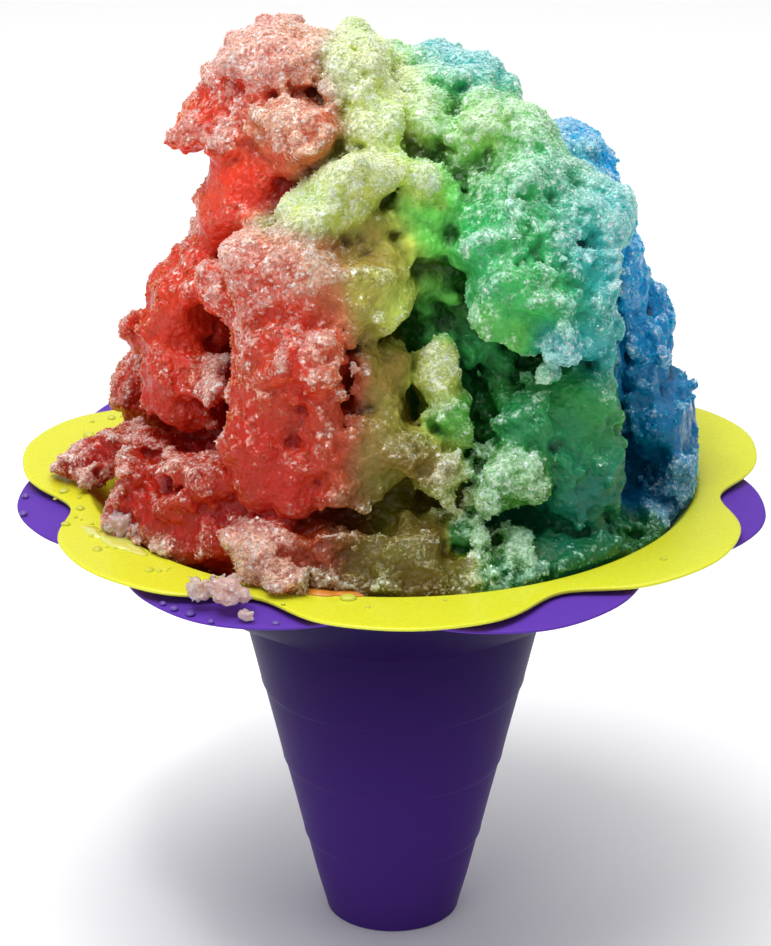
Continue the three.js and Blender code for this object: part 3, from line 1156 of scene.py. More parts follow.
def lattice_noise(axes: list[np.ndarray], wave: float, rng: np.random.Generator) -> np.ndarray:
    """Smooth noise over a grid, from random numbers on a coarse lattice.

    Args:
        axes: The grid's places along each axis.
        wave: The lattice's spacing.
        rng: The source of random numbers.

    Returns:
        The noise at each grid point, mostly from -1 to 1.
    """
    spread = 2.6
    weights = []
    for axis in axes:
        place = (axis - axis[0]) / wave + 1
        cell = place.astype(int)
        part = place - cell
        spline = (
            (1 - part) ** 3,
            3 * part**3 - 6 * part**2 + 4,
            -3 * part**3 + 3 * part**2 + 3 * part + 1,
            part**3,
        )
        matrix = np.zeros((len(axis), cell.max() + 3), dtype=np.float32)
        for shift, weight in enumerate(spline):
            matrix[np.arange(len(axis)), cell + shift - 1] = weight / 6
        weights.append(matrix)
    values = rng.uniform(-spread, spread, [matrix.shape[1] for matrix in weights]).astype(np.float32)
    for matrix in weights:
        values = np.tensordot(values, matrix, axes=([0], [1]))
    return values


def cell_distance(points: np.ndarray, size: float, seed: int) -> np.ndarray:
    """How far each point lies from the nearest of the seeds, one in each cube of space.

    Args:
        points: One row of x, y, z for each point.
        size: The cubes' side.
        seed: Seed of the scatter.

    Returns:
        The distances, as shares of the side.
    """
    count = 4096
    scatter = np.random.default_rng(seed).random((count, 3), dtype=np.float32)
    place = points / size
    cell = np.floor(place).astype(np.int64)
    nearest = np.full(len(points), 9.0, dtype=np.float32)
    for offset in itertools.product((-1, 0, 1), repeat=3):
        near = cell + offset
        pick = (near[:, 0] * 73856093 ^ near[:, 1] * 19349663 ^ near[:, 2] * 83492791) % count
        away = near + scatter[pick] - place
        nearest = np.minimum(nearest, (away**2).sum(axis=1))
    return np.sqrt(nearest)


def blurred(values: np.ndarray, reach: int) -> np.ndarray:
    """Averages a grid's values over a soft window.

    Args:
        values: The grid's values.
        reach: Half the window, in grid steps.

    Returns:
        The averaged values.
    """
    for _ in range(2):
        for axis in range(3):
            values = np.moveaxis(values, axis, 0)
            padded = np.pad(values, [(reach + 1, reach), (0, 0), (0, 0)], mode="edge")
            total = np.cumsum(padded, axis=0, dtype=np.float32)
            values = (total[2 * reach + 1 :] - total[: -2 * reach - 1]) / (2 * reach + 1)
            values = np.moveaxis(values, 0, axis)
    return values


@dataclass
class IceMass:
    """A mass of ice, worked out on a grid as how far each point lies outside of it.

    Warps are the wave and the reach of the noises that bend the lumps, and pebbles are the
    size and the depth of the finer bumps. Centre is how far from a pebble's middle the skin
    is left where it was, as a share of the pebble's size.
    """

    lumps: tuple[Lump, ...]
    low: tuple[float, float, float]
    high: tuple[float, float, float]
    step: float
    core: tuple[Lump, ...] = ()
    crevices: tuple[Lump, ...] = ()
    blend: float = 1.1
    warps: tuple[tuple[float, float], ...] = ((15.0, 2.6), (6.0, 1.65), (3.0, 1.3))
    pebbles: tuple[tuple[float, float], ...] = ((5.2, 1.5), (2.6, 1.35))
    centre: float = 0.46
    seed: int = 3
    whole: bool = True
    limit: Callable[[list[np.ndarray]], np.ndarray] | None = None

    def axes(self) -> list[np.ndarray]:
        """The grid's places along x, y and rise."""
        ends = zip(self.low, self.high)
        return [np.arange(start, end, self.step, dtype=np.float32) for start, end in ends]

    def window(self, lump: Lump, axes: list[np.ndarray], margin: float = 7.0) -> tuple[slice, ...]:
        """The part of the grid that a lump can reach.

        Args:
            lump: The lump.
            axes: The grid's places along each axis.
            margin: How far beyond its own size it is still felt.

        Returns:
            One slice of the grid for each axis.
        """
        reach = max(lump.width, lump.height) if lump.lean else 0
        sizes = (max(reach, lump.width), lump.depth, max(reach, lump.height))
        spans = []
        for axis, centre, size in zip(axes, (lump.x, lump.y, lump.rise), sizes):
            start, end = np.searchsorted(axis, (centre - size - margin, centre + size + margin))
            spans.append(slice(start, end))
        return tuple(spans)

    @staticmethod
    def outside(lump: Lump, place: list[np.ndarray]) -> np.ndarray:
        """How far points lie outside a lump, below nought inside it.

        Args:
            lump: The lump.
            place: The points' x, y and rise.

        Returns:
            The distances, about.
        """
        across = place[0] - lump.x
        along = place[1] - lump.y
        above = place[2] - lump.rise
        cosine = math.cos(math.radians(lump.lean))
        sine = math.sin(math.radians(lump.lean))
        turned = (cosine * across + sine * above) / lump.width
        raised = (cosine * above - sine * across) / lump.height
        total = np.abs(turned) ** lump.block + np.abs(along / lump.depth) ** lump.block
        total += np.abs(raised) ** lump.block
        return (total ** (1 / lump.block) - 1) * min(lump.width, lump.depth, lump.height)

    def field(self) -> np.ndarray:
        """Works out the whole field.

        Returns:
            How far each grid point lies outside the ice.
        """
        axes = self.axes()
        rng = np.random.default_rng(self.seed)
        place = [part.astype(np.float32) for part in np.meshgrid(*axes, indexing="ij")]
        bent = []
        for part in place:
            for wave, reach in self.warps:
                part = part + reach * lattice_noise(axes, wave, rng)
            bent.append(part)
        near = np.zeros_like(bent[0])
        for lump in (*self.core, *self.lumps):
            spot = self.window(lump, axes)
            near[spot] += np.exp(-self.outside(lump, [part[spot] for part in bent]) / self.blend)
        value = -self.blend * np.log(near + 1e-9)
        for crevice in self.crevices:
            spot = self.window(crevice, axes)
            hollow = -self.outside(crevice, [part[spot] for part in bent])
            value[spot] = np.maximum(value[spot], hollow)
        band = np.abs(value) < 3.5
        points = np.stack([part[band] for part in place], axis=1)
        patch = np.clip(0.85 + 0.5 * lattice_noise(axes, 11.0, rng)[band], 0.4, 1.35)
        for number, (size, depth) in enumerate(self.pebbles):
            away = cell_distance(points, size, self.seed + number)
            value[band] -= depth * patch * (self.centre - away)
        if self.limit:
            value = np.maximum(value, self.limit(place))
        edge = np.ones_like(value, dtype=bool)
        edge[1:-1, 1:-1, 1:-1] = False
        value[edge] = np.maximum(value[edge], 0.5 * self.step)
        return value

    def skin(self, value: np.ndarray) -> tuple[np.ndarray, np.ndarray]:
        """Nets the surface where the field is nought.

        Args:
            value: The field.

        Returns:
            The skin's points and its four-sided faces.
        """
        inside = value < 0
        cells = [size - 1 for size in value.shape]
        count = np.zeros(cells, dtype=np.int8)
        for i, j, k in itertools.product((0, 1), repeat=3):
            count += inside[i : i + cells[0], j : j + cells[1], k : k + cells[2]]
        cut = np.argwhere((count > 0) & (count < 8))
        number = np.full(cells, -1, dtype=np.int64)
        number[tuple(cut.T)] = np.arange(len(cut))
        total = np.zeros((len(cut), 3))
        crossings = np.zeros(len(cut))
        for axis in range(3):
            unit = np.eye(3, dtype=int)[axis]
            for corner in itertools.product((0, 1), repeat=3):
                if corner[axis]:
                    continue
                start = value[tuple((cut + corner).T)]
                end = value[tuple((cut + corner + unit).T)]
                crossed = (start < 0) != (end < 0)
                share = start[crossed] / (start[crossed] - end[crossed])
                total[crossed] += np.array(corner) + share[:, None] * unit
                crossings[crossed] += 1
        points = (cut + total / crossings[:, None]) * self.step + self.low
        faces = []
        for axis in range(3):
            unit = np.eye(3, dtype=int)
            first, second = unit[(axis + 1) % 3], unit[(axis + 2) % 3]
            change = np.argwhere(np.diff(inside.astype(np.int8), axis=axis) != 0)
            others = [(axis + 1) % 3, (axis + 2) % 3]
            fits = (change[:, others] > 0).all(axis=1)
            fits &= (change[:, others] < np.array(cells)[others]).all(axis=1)
            change = change[fits]
            ring = [change - first - second, change - second, change, change - first]
            quads = np.stack([number[tuple(corner.T)] for corner in ring], axis=1)
            leaves = inside[tuple(change.T)]
            faces.append(np.where(leaves[:, None], quads, quads[:, ::-1]))
        return points, np.concatenate(faces)

    def sample(self, values: np.ndarray, points: np.ndarray) -> np.ndarray:
        """A grid's values at the grid points nearest to given points.

        Args:
            values: The grid's values.
            points: The points, as x, y and rise.

        Returns:
            One value for each point.
        """
        cell = np.rint((points - self.low) / self.step).astype(int)
        cell = np.clip(cell, 0, np.array(values.shape) - 1)
        return values[tuple(cell.T)]

    def near_lumps(self, points: np.ndarray, value: str) -> np.ndarray:
        """Averages one of the lumps' values over the lumps about each point.

        Args:
            points: The points, as x, y and rise.
            value: The name of the lumps' field.

        Returns:
            One number for each point.
        """
        total = np.zeros(len(points))
        weight = np.full(len(points), 1e-9)
        for lump in self.lumps:
            size = np.array([lump.width, lump.depth, lump.height]) * 1.1
            away = ((points - (lump.x, lump.y, lump.rise)) / size) ** 2
            near = np.exp(-2.4 * away.sum(axis=1))
            taken = getattr(lump, value)
            total += near * (taken.value if isinstance(taken, Syrup) else taken)
            weight += near
        return total / weight

    def build(self, name: str, mouth: float, most: int) -> bpy.types.Object:
        """Makes the mass's mesh, with its syrup, frost and recess stored on it.

        Args:
            name: The object's name.
            mouth: The height of the cup's mouth.
            most: How many triangles it may have.

        Returns:
            The object.
        """
        value = self.field()
        points, faces = self.skin(value)
        piece = object_from(name, mesh_from(name, points + (0, 0, mouth), faces))
        if self.whole:
            largest_shell(piece)
        thinned(piece, most)
        mesh = piece.data
        points = read_points(mesh) - (0, 0, mouth)
        solid = (value < 0).astype(np.float32)
        close, middle, broad = (
            self.sample(blurred(solid, max(least, round(reach / self.step))), points)
            for least, reach in ((1, 1.2), (2, 3.2), (3, 8.0))
        )
        normal = np.empty(len(points) * 3, dtype=np.float32)
        mesh.vertex_normals.foreach_get("vector", normal)
        # Frost gathers on open crests, the ice's own frost; it also grows higher up and on faces turned
        # up and to the front left, towards the key lamp, which is painted light.
        facing = normal.reshape(-1, 3) @ np.array([-0.28, -0.12, 0.95])
        frost = 0.1 + 1.1 * (0.5 - close) + 1.5 * (0.5 - middle) + 0.38 * facing
        frost += 0.003 * (points[:, 2] - 45) + self.near_lumps(points, "frost")
        # Recess is how enclosed a point is; the ice's colour uses it for painted shade.
        recess = 0.9 * (middle - 0.5) + 1.6 * (broad - 0.5) + 0.35
        write_values(mesh, "stripe", self.near_lumps(points, "syrup"))
        write_values(mesh, "frost", np.clip(frost, 0, 1))
        write_values(mesh, "recess", np.clip(recess, 0, 1))
        return piece


@dataclass
class IceHeap:
    """The heap of shaved ice, from its lumps to its finest relief."""

    mouth: float
    mouth_radius: float
    rows: int = 7
    per_row: int = 8
    seed: int = 11
    foot: float = -7.0
    step: float = 0.8
    triangles: int = 196000
    gap: float = 0.3
    spill: float = 25.0
    finish: IceFinish = IceFinish("syruped ice")

    def back_lumps(self) -> list[Lump]:
        """Lumps over the back of the heap, in rows that shrink towards the top.

        Returns:
            The lumps.
        """
        rng = np.random.default_rng(self.seed)
        lumps = []
        for row in range(self.rows):
            share = 0.03 + 0.7 * row / (self.rows - 1)
            count = max(3, round(self.per_row * (1 - 0.55 * share)))
            radius = 61.5 * (1 - share**1.7) ** 0.62
            shift = 4 * math.sin(math.pi * share**1.2) - 14 * share**6
            for i in range(count):
                angle = math.radians(10 + 160 * (i + 0.5 * (row % 2) + 0.3 * rng.random()) / count)
                out = radius - 9.5 - 4 * rng.random()
                size = 10 + 6 * rng.random() - 4 * share
                x = out * math.cos(angle) + shift
                y = 0.95 * out * math.sin(angle)
                squash = 0.8 + 0.5 * rng.random()
                lean = 60 * rng.random() - 30
                block = 2.6 + rng.random()
                syrup = self.stripe_at(x, share)
                lumps.append(Lump(x, y, 106 * share, size, size, size * squash, syrup, lean, block))
        return lumps

    @staticmethod
    def stripe_at(x: float, share: float) -> Syrup:
        """The syrup that the hidden side takes.

        Args:
            x: The distance across the heap.
            share: How far up the heap it is, from 0 to 1.

        Returns:
            The syrup.
        """
        edges = (
            (-20, -18, RED),
            (-12, -13, ROSE),
            (-4, -11, AMBER),
            (4, -8, OLIVE),
            (10, 1, LIME),
            (18, 6, SPRING),
            (30, 11, GREEN),
            (38, 20, SEA),
            (46, 30, TEAL),
        )
        for low, high, syrup in edges:
            if x < low + (high - low) * share:
                return syrup
        return BLUE

    def off_collar(self, place: list[np.ndarray]) -> np.ndarray:
        """Keeps the ice out of the collar: inside its mouth, or up on its left brim.

        Args:
            place: The points' x, y and rise.

        Returns:
            How far each point lies outside the room that the collar leaves.
        """
        across, along, rise = place
        radius = np.hypot(across, along)
        wall = self.mouth_radius - 0.8 - 0.75 * np.maximum(-0.9 - rise, 0)
        blocked = np.minimum(radius - wall, self.gap - rise)
        spread = 0.3 + self.spill * np.clip((-18 - across) / 4, 0, 1)
        return np.maximum(blocked, radius - self.mouth_radius - spread)

    def build(self, syrup: bpy.types.NodeTree) -> bpy.types.Object:
        """Makes the heap in place of its plain solid.

        Args:
            syrup: The shared group that colours ice.

        Returns:
            The heap.
        """
        mass = IceMass(
            lumps=(*FRONT_LUMPS, *self.back_lumps()),
            low=(-84, -74, self.foot),
            high=(78, 68, 114),
            step=self.step,
            core=CORE_LUMPS,
            crevices=CREVICES,
            limit=self.off_collar,
        )
        piece = mass.build("ice_heap", self.mouth, self.triangles)
        piece.data.materials.append(self.finish.material(syrup))
        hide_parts("shaved_ice")
        return piece


# ---- loose crystals ----


def geometry_tree(name: str, inputs: dict[str, str]) -> tuple[Graph, bpy.types.Node]:
    """Starts a geometry node tree with a mesh in and a mesh out.

    Args:
        name: The tree's name.
        inputs: Further input types by name.

    Returns:
        The graph and its group input node.
    """
    tree = bpy.data.node_groups.new(name, "GeometryNodeTree")
    named_sockets(tree, "INPUT", {"Geometry": "NodeSocketGeometry", **inputs})
    named_sockets(tree, "OUTPUT", {"Geometry": "NodeSocketGeometry"})
    graph = Graph(tree)
    return graph, graph.add("NodeGroupInput")


class CrystalShape(Enum):
    """The solids that crystals are cut from."""

    GRAIN = "grain"
    SPLINTER = "splinter"
    FLAKE = "flake"


@dataclass(frozen=True)
class CrystalKind:
    """One kind of crystal scattered over the heap.

    Density is how many there are on a square millimetre of full frost, size is in
    millimetres, and frost_from is the frost from which they lie.
    """

    name: str
    shape: CrystalShape
    density: float
    size: tuple[float, float]
    stretch: tuple[float, float, float]
    frost_from: float
    seed: int
    finish: IceFinish


def crystal_finish(
    name: str,
    frosting: float,
    depth: float = 0.7,
    facet: float = 0.2,
    roughness: tuple[float, float] = (0.08, 0.14),
    glow: float = 0.7,
) -> IceFinish:
    """The finish of a loose crystal, glassier and flatter than that of the heap.

    Args:
        name: The material's name.
        frosting: How much frost shows on it.
        depth: How far painted shade darkens it in the hollows and low down.
        facet: How far its faces are turned from the surface.
        roughness: Its roughness when wet and when frosted.
        glow: How much light scatters inside.

    Returns:
        The finish.
    """
    return IceFinish(name, frosting, depth, facet, roughness, bump=0.1, glow=glow)


def scatter_tree(shape: CrystalShape) -> bpy.types.NodeTree:
    """Builds the tree that scatters one shape of crystal over a surface.

    Args:
        shape: The solid that each crystal is.

    Returns:
        The tree.
    """
    inputs = {
        "Density": "NodeSocketFloat",
        "Smallest": "NodeSocketFloat",
        "Largest": "NodeSocketFloat",
        "Stretch": "NodeSocketVector",
        "Frost from": "NodeSocketFloat",
        "Seed": "NodeSocketInt",
        "Material": "NodeSocketMaterial",
    }
    graph, start = geometry_tree(f"scatter {shape.value}", inputs)
    given = start.outputs

    def chain(kind: str, inputs: dict, **settings: object) -> Socket:
        """Adds one node and gives its first result."""
        return graph.add(kind, inputs, **settings).outputs[0]

    def random_vector(least: float, most: float) -> Socket:
        """Three random numbers for each crystal, each between two bounds."""
        bounds = {0: (least,) * 3, 1: (most,) * 3, "Seed": given["Seed"]}
        return chain("FunctionNodeRandomValue", bounds, data_type="FLOAT_VECTOR")

    frost = chain("GeometryNodeInputNamedAttribute", {"Name": "frost"}, data_type="FLOAT")
    share = graph.math("SUBTRACT", frost, given["Frost from"])
    wanted = graph.math("MULTIPLY_ADD", share, 2.5, 0.25, clamp=True)
    density = graph.math("MULTIPLY", wanted, given["Density"])
    spots = {"Mesh": given["Geometry"], "Density": density, "Seed": given["Seed"]}
    points = chain("GeometryNodeDistributePointsOnFaces", spots)
    sides = {CrystalShape.GRAIN: 5, CrystalShape.SPLINTER: 3, CrystalShape.FLAKE: 4}[shape]
    solid = chain("GeometryNodeMeshUVSphere", {"Segments": sides, "Rings": 2, "Radius": 0.5})
    turn = random_vector(0.0, TAU)
    sizes = {2: given["Smallest"], 3: given["Largest"], "Seed": given["Seed"]}
    size = graph.add("FunctionNodeRandomValue", sizes).outputs[1]
    stretch = {0: random_vector(0.65, 1.3), 1: given["Stretch"]}
    shaped = chain("ShaderNodeVectorMath", stretch, operation="MULTIPLY")
    scale = chain("ShaderNodeVectorMath", {0: shaped, "Scale": size}, operation="SCALE")
    places = {"Points": points, "Instance": solid, "Rotation": turn, "Scale": scale}
    placed = chain("GeometryNodeInstanceOnPoints", places)
    real = chain("GeometryNodeRealizeInstances", {0: placed})
    flat = chain("GeometryNodeSetShadeSmooth", {"Geometry": real, "Shade Smooth": False})
    dressed = chain("GeometryNodeSetMaterial", {"Geometry": flat, "Material": given["Material"]})
    graph.add("NodeGroupOutput", {0: dressed})
    return graph.tree


@dataclass
class LooseCrystals:
    """The crystals on the heap's surface, one piece for each kind."""

    kinds: tuple[CrystalKind, ...] = (
        CrystalKind(
            "ice_grains",
            CrystalShape.GRAIN,
            density=0.6,
            size=(0.5, 1.25),
            stretch=(1.0, 0.9, 0.8),
            frost_from=0.22,
            seed=21,
            finish=crystal_finish("grain ice", frosting=0.5, facet=0.25, glow=0.8),
        ),
        CrystalKind(
            "ice_splinters",
            CrystalShape.SPLINTER,
            density=1.3,
            size=(0.4, 0.9),
            stretch=(0.7, 0.7, 1.5),
            frost_from=0.36,
            seed=22,
            finish=crystal_finish("splinter ice", frosting=0.55),
        ),
        CrystalKind(
            "ice_flakes",
            CrystalShape.FLAKE,
            density=0.8,
            size=(0.5, 1.1),
            stretch=(1.1, 1.0, 0.5),
            frost_from=0.32,
            seed=23,
            finish=crystal_finish("flake ice", frosting=0.5, roughness=(0.06, 0.12)),
        ),
        CrystalKind(
            "frost_grains",
            CrystalShape.FLAKE,
            density=1.6,
            size=(0.35, 0.75),
            stretch=(1.0, 1.0, 0.9),
            frost_from=0.5,
            seed=24,
            finish=crystal_finish("frost ice", frosting=0.9, depth=0.6),
        ),
    )

    def build(self, heap: bpy.types.Object, syrup: bpy.types.NodeTree) -> list[bpy.types.Object]:
        """Scatters each kind over the heap.

        Args:
            heap: The finished heap.
            syrup: The shared group that colours ice.

        Returns:
            One piece for each kind.
        """
        pieces = []
        for kind in self.kinds:
            smallest, largest = kind.size
            values = {
                "Density": kind.density / MM**2,
                "Smallest": smallest * MM,
                "Largest": largest * MM,
                "Stretch": kind.stretch,
                "Frost from": kind.frost_from,
                "Seed": kind.seed,
                "Material": kind.finish.material(syrup),
            }
            piece = object_from(kind.name, heap.data.copy())
            piece = through_nodes(piece, scatter_tree(kind.shape), values)
            pieces.append(piece)
        return pieces


# ---- what has fallen or melted ----


@dataclass
class FallenIce:
    """The clump and the bits that have fallen onto the brims."""

    mouth: float
    step: float = 0.34
    margin: float = 4.0
    triangles: int = 30000
    finish: IceFinish = IceFinish(
        "fallen ice",
        frosting=0.85,
        depth=0.2,
        roughness=(0.06, 0.14),
        bump=0.8,
        glow=0.8,
        see_through=0.45,
        rinse=0.55,
    )
    clump: tuple[Lump, ...] = (
        Lump(-35.2, -71.6, 2.9, 3.9, 3.2, 2.5, ROSE, 8, 2.4, 0.9),
        Lump(-33.0, -72.6, 2.1, 3.2, 2.6, 1.9, ROSE, 0, 2.4, 0.9),
        Lump(-37.6, -71.2, 3.3, 2.2, 2.2, 1.7, ROSE, -20, 2.2, 0.9),
        Lump(-41.6, -70.6, 2.0, 1.9, 2.2, 1.8, AMBER, 0, 2.4, 0.8),
        Lump(-30.6, -76.4, -0.8, 1.6, 1.3, 1.05, ROSE, 10, 2.6, 0.8),
    )
    bits: tuple[Lump, ...] = (
        Lump(-58.4, -37.5, 3.0, 3.0, 2.4, 2.8, ROSE, 10, 3.0, 0.75),
        Lump(-55.6, -39.4, 2.2, 2.0, 2.0, 1.8, ROSE, 0, 2.6, 0.7),
        Lump(-61.8, -36.6, 1.6, 1.4, 1.4, 1.1, LIME, 0, 2.4, 0.8),
    )

    def crumb(self, name: str, lumps: tuple[Lump, ...], syrup: bpy.types.NodeTree) -> bpy.types.Object:
        """Makes one small group of lumps.

        Args:
            name: The piece's name.
            lumps: Its lumps.
            syrup: The shared group that colours ice.

        Returns:
            The piece.
        """
        places = np.array([(lump.x, lump.y, lump.rise) for lump in lumps])
        sizes = np.array([(lump.width, lump.depth, lump.height) for lump in lumps])
        low = (places - sizes).min(axis=0) - self.margin
        high = (places + sizes).max(axis=0) + self.margin
        mass = IceMass(
            lumps=lumps,
            low=tuple(low),
            high=tuple(high),
            step=self.step,
            blend=0.35,
            warps=((5.0, 0.6), (2.2, 0.5)),
            pebbles=((2.0, 1.2), (1.1, 0.7)),
            whole=False,
        )
        piece = mass.build(name, self.mouth, self.triangles)
        piece.data.materials.append(self.finish.material(syrup))
        return piece

    def build(self, syrup: bpy.types.NodeTree) -> list[bpy.types.Object]:
        """Makes the fallen clump and the bits.

        Args:
            syrup: The shared group that colours ice.

        Returns:
            The pieces.
        """
        clump = self.crumb("fallen_clump", self.clump, syrup)
        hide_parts("spill_clump")
        return [clump, self.crumb("fallen_bits", self.bits, syrup)]


@dataclass
class PackedIce:
    """The plain ice packed down in the bowl and the cone, under the heap."""

    mouth: float
    foot: float
    gap: float = 0.3
    columns: int = 48
    finish: IceFinish = IceFinish("packed ice", frosting=0.2)

    def build(self, cup: ConeCup, syrup: bpy.types.NodeTree) -> bpy.types.Object:
        """Makes the plug from the cup's own inside.

        Args:
            cup: The cup that holds it.
            syrup: The shared group that colours ice.

        Returns:
            The piece.
        """
        top = self.mouth + self.foot - self.gap
        inset = cup.wall + self.gap
        low = cup.floor + 1.3
        wall = [(radius, height) for radius, height in cup.bowl(inset) if height < top - 1]
        reach = wall[-1][0]
        profile = [(0, low), (cup.base_radius - inset - 1, low), *wall, (reach, top), (0, top)]
        shell = TurnedShell(cup.petals, cup.mouth_radius, self.columns)
        piece = object_from("packed_ice", shell.mesh("packed_ice", profile, closed=False))
        across = read_points(piece.data)[:, 0]
        write_values(piece.data, "stripe", np.clip(0.5 + across / 100, 0, 1))
        write_values(piece.data, "frost", np.zeros(len(across)))
        # Full recess puts all of the packed ice in the hollows' painted shade.
        write_values(piece.data, "recess", np.ones(len(across)))
        piece.data.materials.append(self.finish.material(syrup))
        return piece


@dataclass(frozen=True)
class Drop:
    """A drop of water on a brim, in millimetres about the cup's axis."""

    x: float
    y: float
    size: float


@dataclass(frozen=True)
class Puddle:
    """A thin film of melt along the collar's mouth.

    It lies at an angle in degrees and a radius from the cup's axis, and its length and width
    are half its size.
    """

    angle: float
    radius: float
    length: float
    width: float
    thickness: float


@dataclass
class MeltWater:
    """Drops on both brims, the wet film by the fallen bits and the tinted melt at the front."""

    cup_top: float
    collar_top: float
    rings: int = 5
    columns: int = 16
    seed: int = 8
    scattered: int = 26
    sunk: float = 0.6
    water: WaterFinish = WaterFinish("melt water", (220, 224, 70), clear=0.4)
    cup_water: WaterFinish = WaterFinish("cup melt water", (112, 78, 184), clear=0.45)
    syrup: WaterFinish = WaterFinish("syrup melt", (214, 128, 30))
    yellow_drops: tuple[Drop, ...] = (
        Drop(-71, 22, 1.5),
        Drop(-74, -12, 1.2),
        Drop(-66.5, 33, 1.1),
        Drop(-76, 8, 0.9),
        Drop(-72, -31, 1.0),
        Drop(-64, -45, 1.3),
        Drop(-52, -56, 1.1),
        Drop(-69.5, -22, 1.0),
        Drop(-9.5, -70.4, 1.7),
        Drop(58, -50, 0.8),
    )
    purple_drops: tuple[Drop, ...] = (
        Drop(-83, -9, 0.9),
        Drop(-82.5, -19, 1.0),
        Drop(-48.5, -67.5, 0.8),
        Drop(-46, -70, 1.0),
        Drop(-42.5, -72.5, 1.2),
        Drop(-24.5, -77.5, 0.9),
        Drop(-38, -76.5, 0.7),
    )
    puddles: tuple[Puddle, ...] = (
        Puddle(-146, 71.5, 9.5, 3.0, 0.5),
        Puddle(-152, 74.5, 4.0, 1.6, 0.4),
        Puddle(178, 73.5, 4.5, 2.0, 0.4),
    )
    tinted: tuple[Puddle, ...] = (
        Puddle(-104.5, 69.3, 6.5, 1.5, 0.7),
        Puddle(-98.5, 69.0, 4.5, 1.2, 0.6),
    )

    def dome(self, outline: np.ndarray, base: float, height: float) -> Dome:
        """A shallow closed dome over an outline.

        Args:
            outline: The outline's offsets from its middle and the middle itself in the last row.
            base: The height of the surface it lies on.
            height: The dome's height.

        Returns:
            The dome's points and faces.
        """
        middle = outline[-1]
        rim = outline[:-1]
        count = len(rim)
        points = []
        for ring in range(self.rings):
            turn = ring / self.rings * math.pi / 2
            level = np.full((count, 1), base + height * math.sin(turn))
            points.append(np.concatenate([middle + rim * math.cos(turn), level], axis=1))
        faces = [tuple(range(count))[::-1]]
        for ring in range(self.rings - 1):
            for i in range(count):
                j = (i + 1) % count
                low, high = ring * count, (ring + 1) * count
                faces.append((low + i, low + j, high + j, high + i))
        top = self.rings * count
        points.append(np.array([[*middle, base + height]]))
        last = (self.rings - 1) * count
        faces.extend((last + i, last + (i + 1) % count, top) for i in range(count))
        return np.concatenate(points), faces

    def joined(self, name: str, domes: list[Dome]) -> bpy.types.Object:
        """Joins domes into one piece.

        Args:
            name: The piece's name.
            domes: The domes' points and faces.

        Returns:
            The piece.
        """
        points, faces, start = [], [], 0
        for dome_points, dome_faces in domes:
            points.append(dome_points)
            faces.extend(tuple(start + i for i in face) for face in dome_faces)
            start += len(dome_points)
        return object_from(name, mesh_from(name, np.concatenate(points), faces))

    def drop(self, drop: Drop, base: float, rng: np.random.Generator) -> Dome:
        """Makes one drop, a little out of round.

        Args:
            drop: The drop.
            base: The height of the brim it lies on.
            rng: The source of random numbers.

        Returns:
            Its points and faces.
        """
        angle = np.arange(self.columns) * TAU / self.columns
        radius = drop.size * (1 + 0.08 * np.sin(2 * angle + TAU * rng.random()))
        outline = np.stack([radius * np.cos(angle), radius * np.sin(angle)], axis=1)
        return self.dome(np.vstack([outline, (drop.x, drop.y)]), base, 0.25 + 0.4 * drop.size)

    def film(self, puddle: Puddle, base: float, rng: np.random.Generator) -> Dome:
        """Makes one thin film with a wavy edge, bent along the collar's mouth.

        Args:
            puddle: The film.
            base: The height of the brim it lies on.
            rng: The source of random numbers.

        Returns:
            Its points and faces.
        """
        count = 3 * self.columns
        angle = np.arange(count) * TAU / count
        phase = TAU * rng.random(3)
        wave = 1 + sum(0.09 * np.sin((i + 2) * angle + phase[i]) for i in range(3))
        along = puddle.length * wave * np.cos(angle)
        across = puddle.width * wave * np.sin(angle)
        turn = math.radians(puddle.angle)
        bend = turn + along / puddle.radius
        radius = puddle.radius + across
        spot = np.stack([radius * np.cos(bend), radius * np.sin(bend)], axis=1)
        middle = puddle.radius * np.array([math.cos(turn), math.sin(turn)])
        return self.dome(np.vstack([spot - middle, middle]), base, puddle.thickness)

    def spray(self, rng: np.random.Generator) -> list[Drop]:
        """Scatters small drops over the collar's left and front petals.

        Args:
            rng: The source of random numbers.

        Returns:
            The drops.
        """
        drops = []
        for _ in range(self.scattered):
            angle = math.radians(rng.uniform(150, 280))
            radius = rng.uniform(71.5, 77.5)
            drops.append(Drop(radius * math.cos(angle), radius * math.sin(angle), rng.uniform(0.3, 0.7)))
        return drops

    def build(self) -> list[bpy.types.Object]:
        """Makes the clear and the tinted melt.

        Returns:
            The pieces.
        """
        rng = np.random.default_rng(self.seed)
        drops = (*self.yellow_drops, *self.spray(rng))
        clear = [self.drop(drop, self.collar_top, rng) for drop in drops]
        low = [self.drop(drop, self.cup_top - self.sunk, rng) for drop in self.purple_drops]
        clear += [self.film(puddle, self.collar_top, rng) for puddle in self.puddles]
        tinted = [self.film(puddle, self.collar_top, rng) for puddle in self.tinted]
        pieces = []
        made = (
            ("melt_water", clear, self.water),
            ("cup_melt_water", low, self.cup_water),
            ("syrup_melt", tinted, self.syrup),
        )
        for name, domes, finish in made:
            piece = self.joined(name, domes)
            piece.data.materials.append(finish.material())
            pieces.append(piece)
        return pieces


# ---- the studio ----


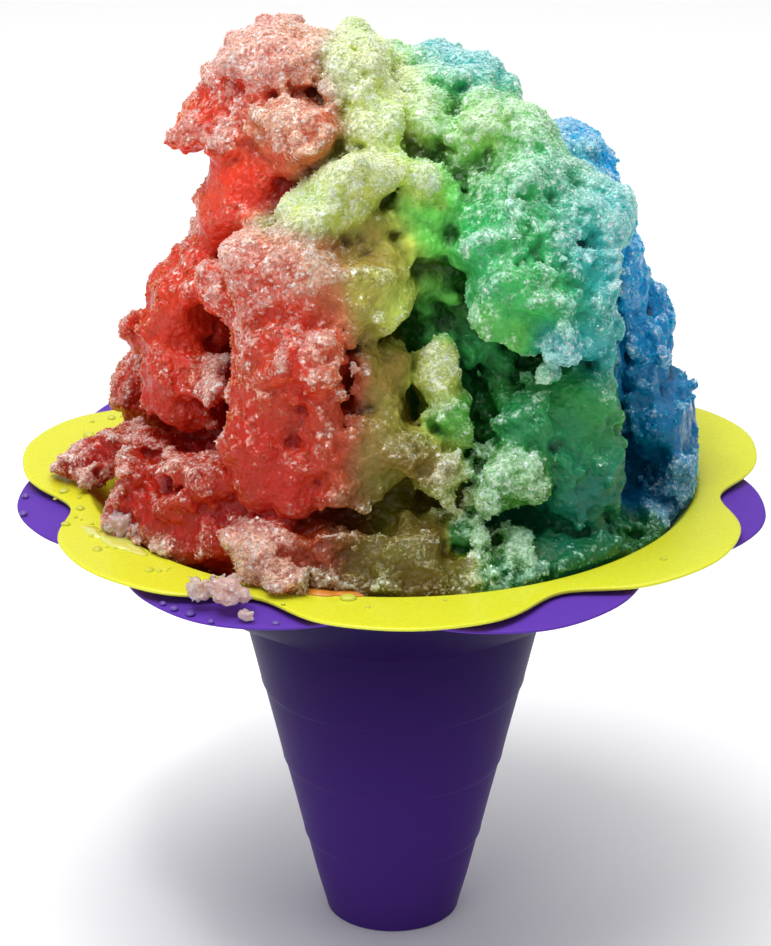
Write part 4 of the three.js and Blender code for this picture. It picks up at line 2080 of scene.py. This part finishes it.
@dataclass
class Studio:
    """The pale floor, the soft lights and the camera.

    The camera looks at the middle's height from a distance, all in millimetres.
    """

    middle: float = 110.7
    distance: float = 800.0
    elevation: float = 22.32
    lens: float = 133.5
    aside: float = -1.7
    air: float = 0.46

    def floor(self) -> bpy.types.Object:
        """Makes the floor, which isn't part of the object.

        Returns:
            The floor.
        """
        half = 4000.0
        square = np.array([(-half, -half, 0), (half, -half, 0), (half, half, 0), (-half, half, 0)])
        piece = object_from("floor", mesh_from("floor", square, [(0, 1, 2, 3)], smooth=False))
        made, graph, shader = blank_material("pale floor")
        graph.feed(shader, {"Base Color": srgb(250, 250, 251), "Roughness": 0.9})
        piece.data.materials.append(made)
        return piece

    def lamp(self, name: str, place: tuple[float, float, float], size: float, power: float) -> None:
        """Adds one soft square light that points at the heap.

        Args:
            name: The light's name.
            place: Where it hangs, in millimetres.
            size: Its side, in millimetres.
            power: Its power in watts.
        """
        light = bpy.data.lights.new(name, "AREA")
        light.size = size * MM
        light.energy = power
        lamp = bpy.data.objects.new(name, light)
        lamp.location = Vector(place) * MM
        aim = Vector((0, 0, 150)) - Vector(place)
        lamp.rotation_euler = aim.to_track_quat("-Z", "Y").to_euler()
        bpy.context.scene.collection.objects.link(lamp)

    def build(self) -> None:
        """Sets up the floor, the lights, the air and the camera."""
        self.floor()
        self.lamp("key", (-170, -200, 1150), 800, 8.5)
        self.lamp("glint", (-260, -330, 1000), 110, 1.6)
        self.lamp("top", (100, 300, 1400), 1500, 10.0)
        self.lamp("front", (-700, -1000, 420), 700, 2.2)
        world = bpy.data.worlds.new("air")
        world.use_nodes = True
        air = {"Color": (1.0, 1.0, 1.0, 1.0), "Strength": self.air}
        Graph(world.node_tree).feed(world.node_tree.nodes["Background"], air)
        scene = bpy.context.scene
        scene.world = world
        scene.view_settings.view_transform = "Standard"
        tilt = math.radians(self.elevation)
        camera = bpy.data.cameras.new("camera")
        camera.lens = self.lens
        camera.sensor_width = 36.0
        camera.clip_end = 20.0
        eye = bpy.data.objects.new("camera", camera)
        back = self.distance * math.cos(tilt)
        up = self.distance * math.sin(tilt)
        eye.location = Vector((self.aside, -back, self.middle + up)) * MM
        eye.rotation_euler = (math.pi / 2 - tilt, 0, 0)
        scene.collection.objects.link(eye)
        scene.camera = eye


def report(pieces: Iterable[bpy.types.Object]) -> None:
    """Makes each piece ride on the object's body and logs its size.

    Args:
        pieces: The finished pieces.
    """
    for piece in pieces:
        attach(piece, ROOT)
        piece.data.calc_loop_triangles()
        LOG.info("%s: %d triangles", piece.name, len(piece.data.loop_triangles))


def main() -> None:
    """Builds the dessert around the frame, piece by piece, and then the studio."""
    logging.basicConfig(level=logging.INFO, format="%(message)s")
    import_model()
    collar_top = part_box("petal_collar")[1][2] / MM
    cup_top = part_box("cup")[1][2] / MM
    syrup = syrup_group()
    cup = ConeCup(cup_top)
    collar = PetalCollar(collar_top)
    heap = IceHeap(collar_top, collar.mouth_radius)
    report([cup.build(), collar.build()])
    ice = heap.build(syrup)
    report([ice])
    report(LooseCrystals().build(ice, syrup))
    report(FallenIce(collar_top).build(syrup))
    report([PackedIce(collar_top, heap.foot).build(cup, syrup)])
    report(MeltWater(cup_top, collar_top).build())
    Studio().build()


if __name__ == "__main__":
    main()
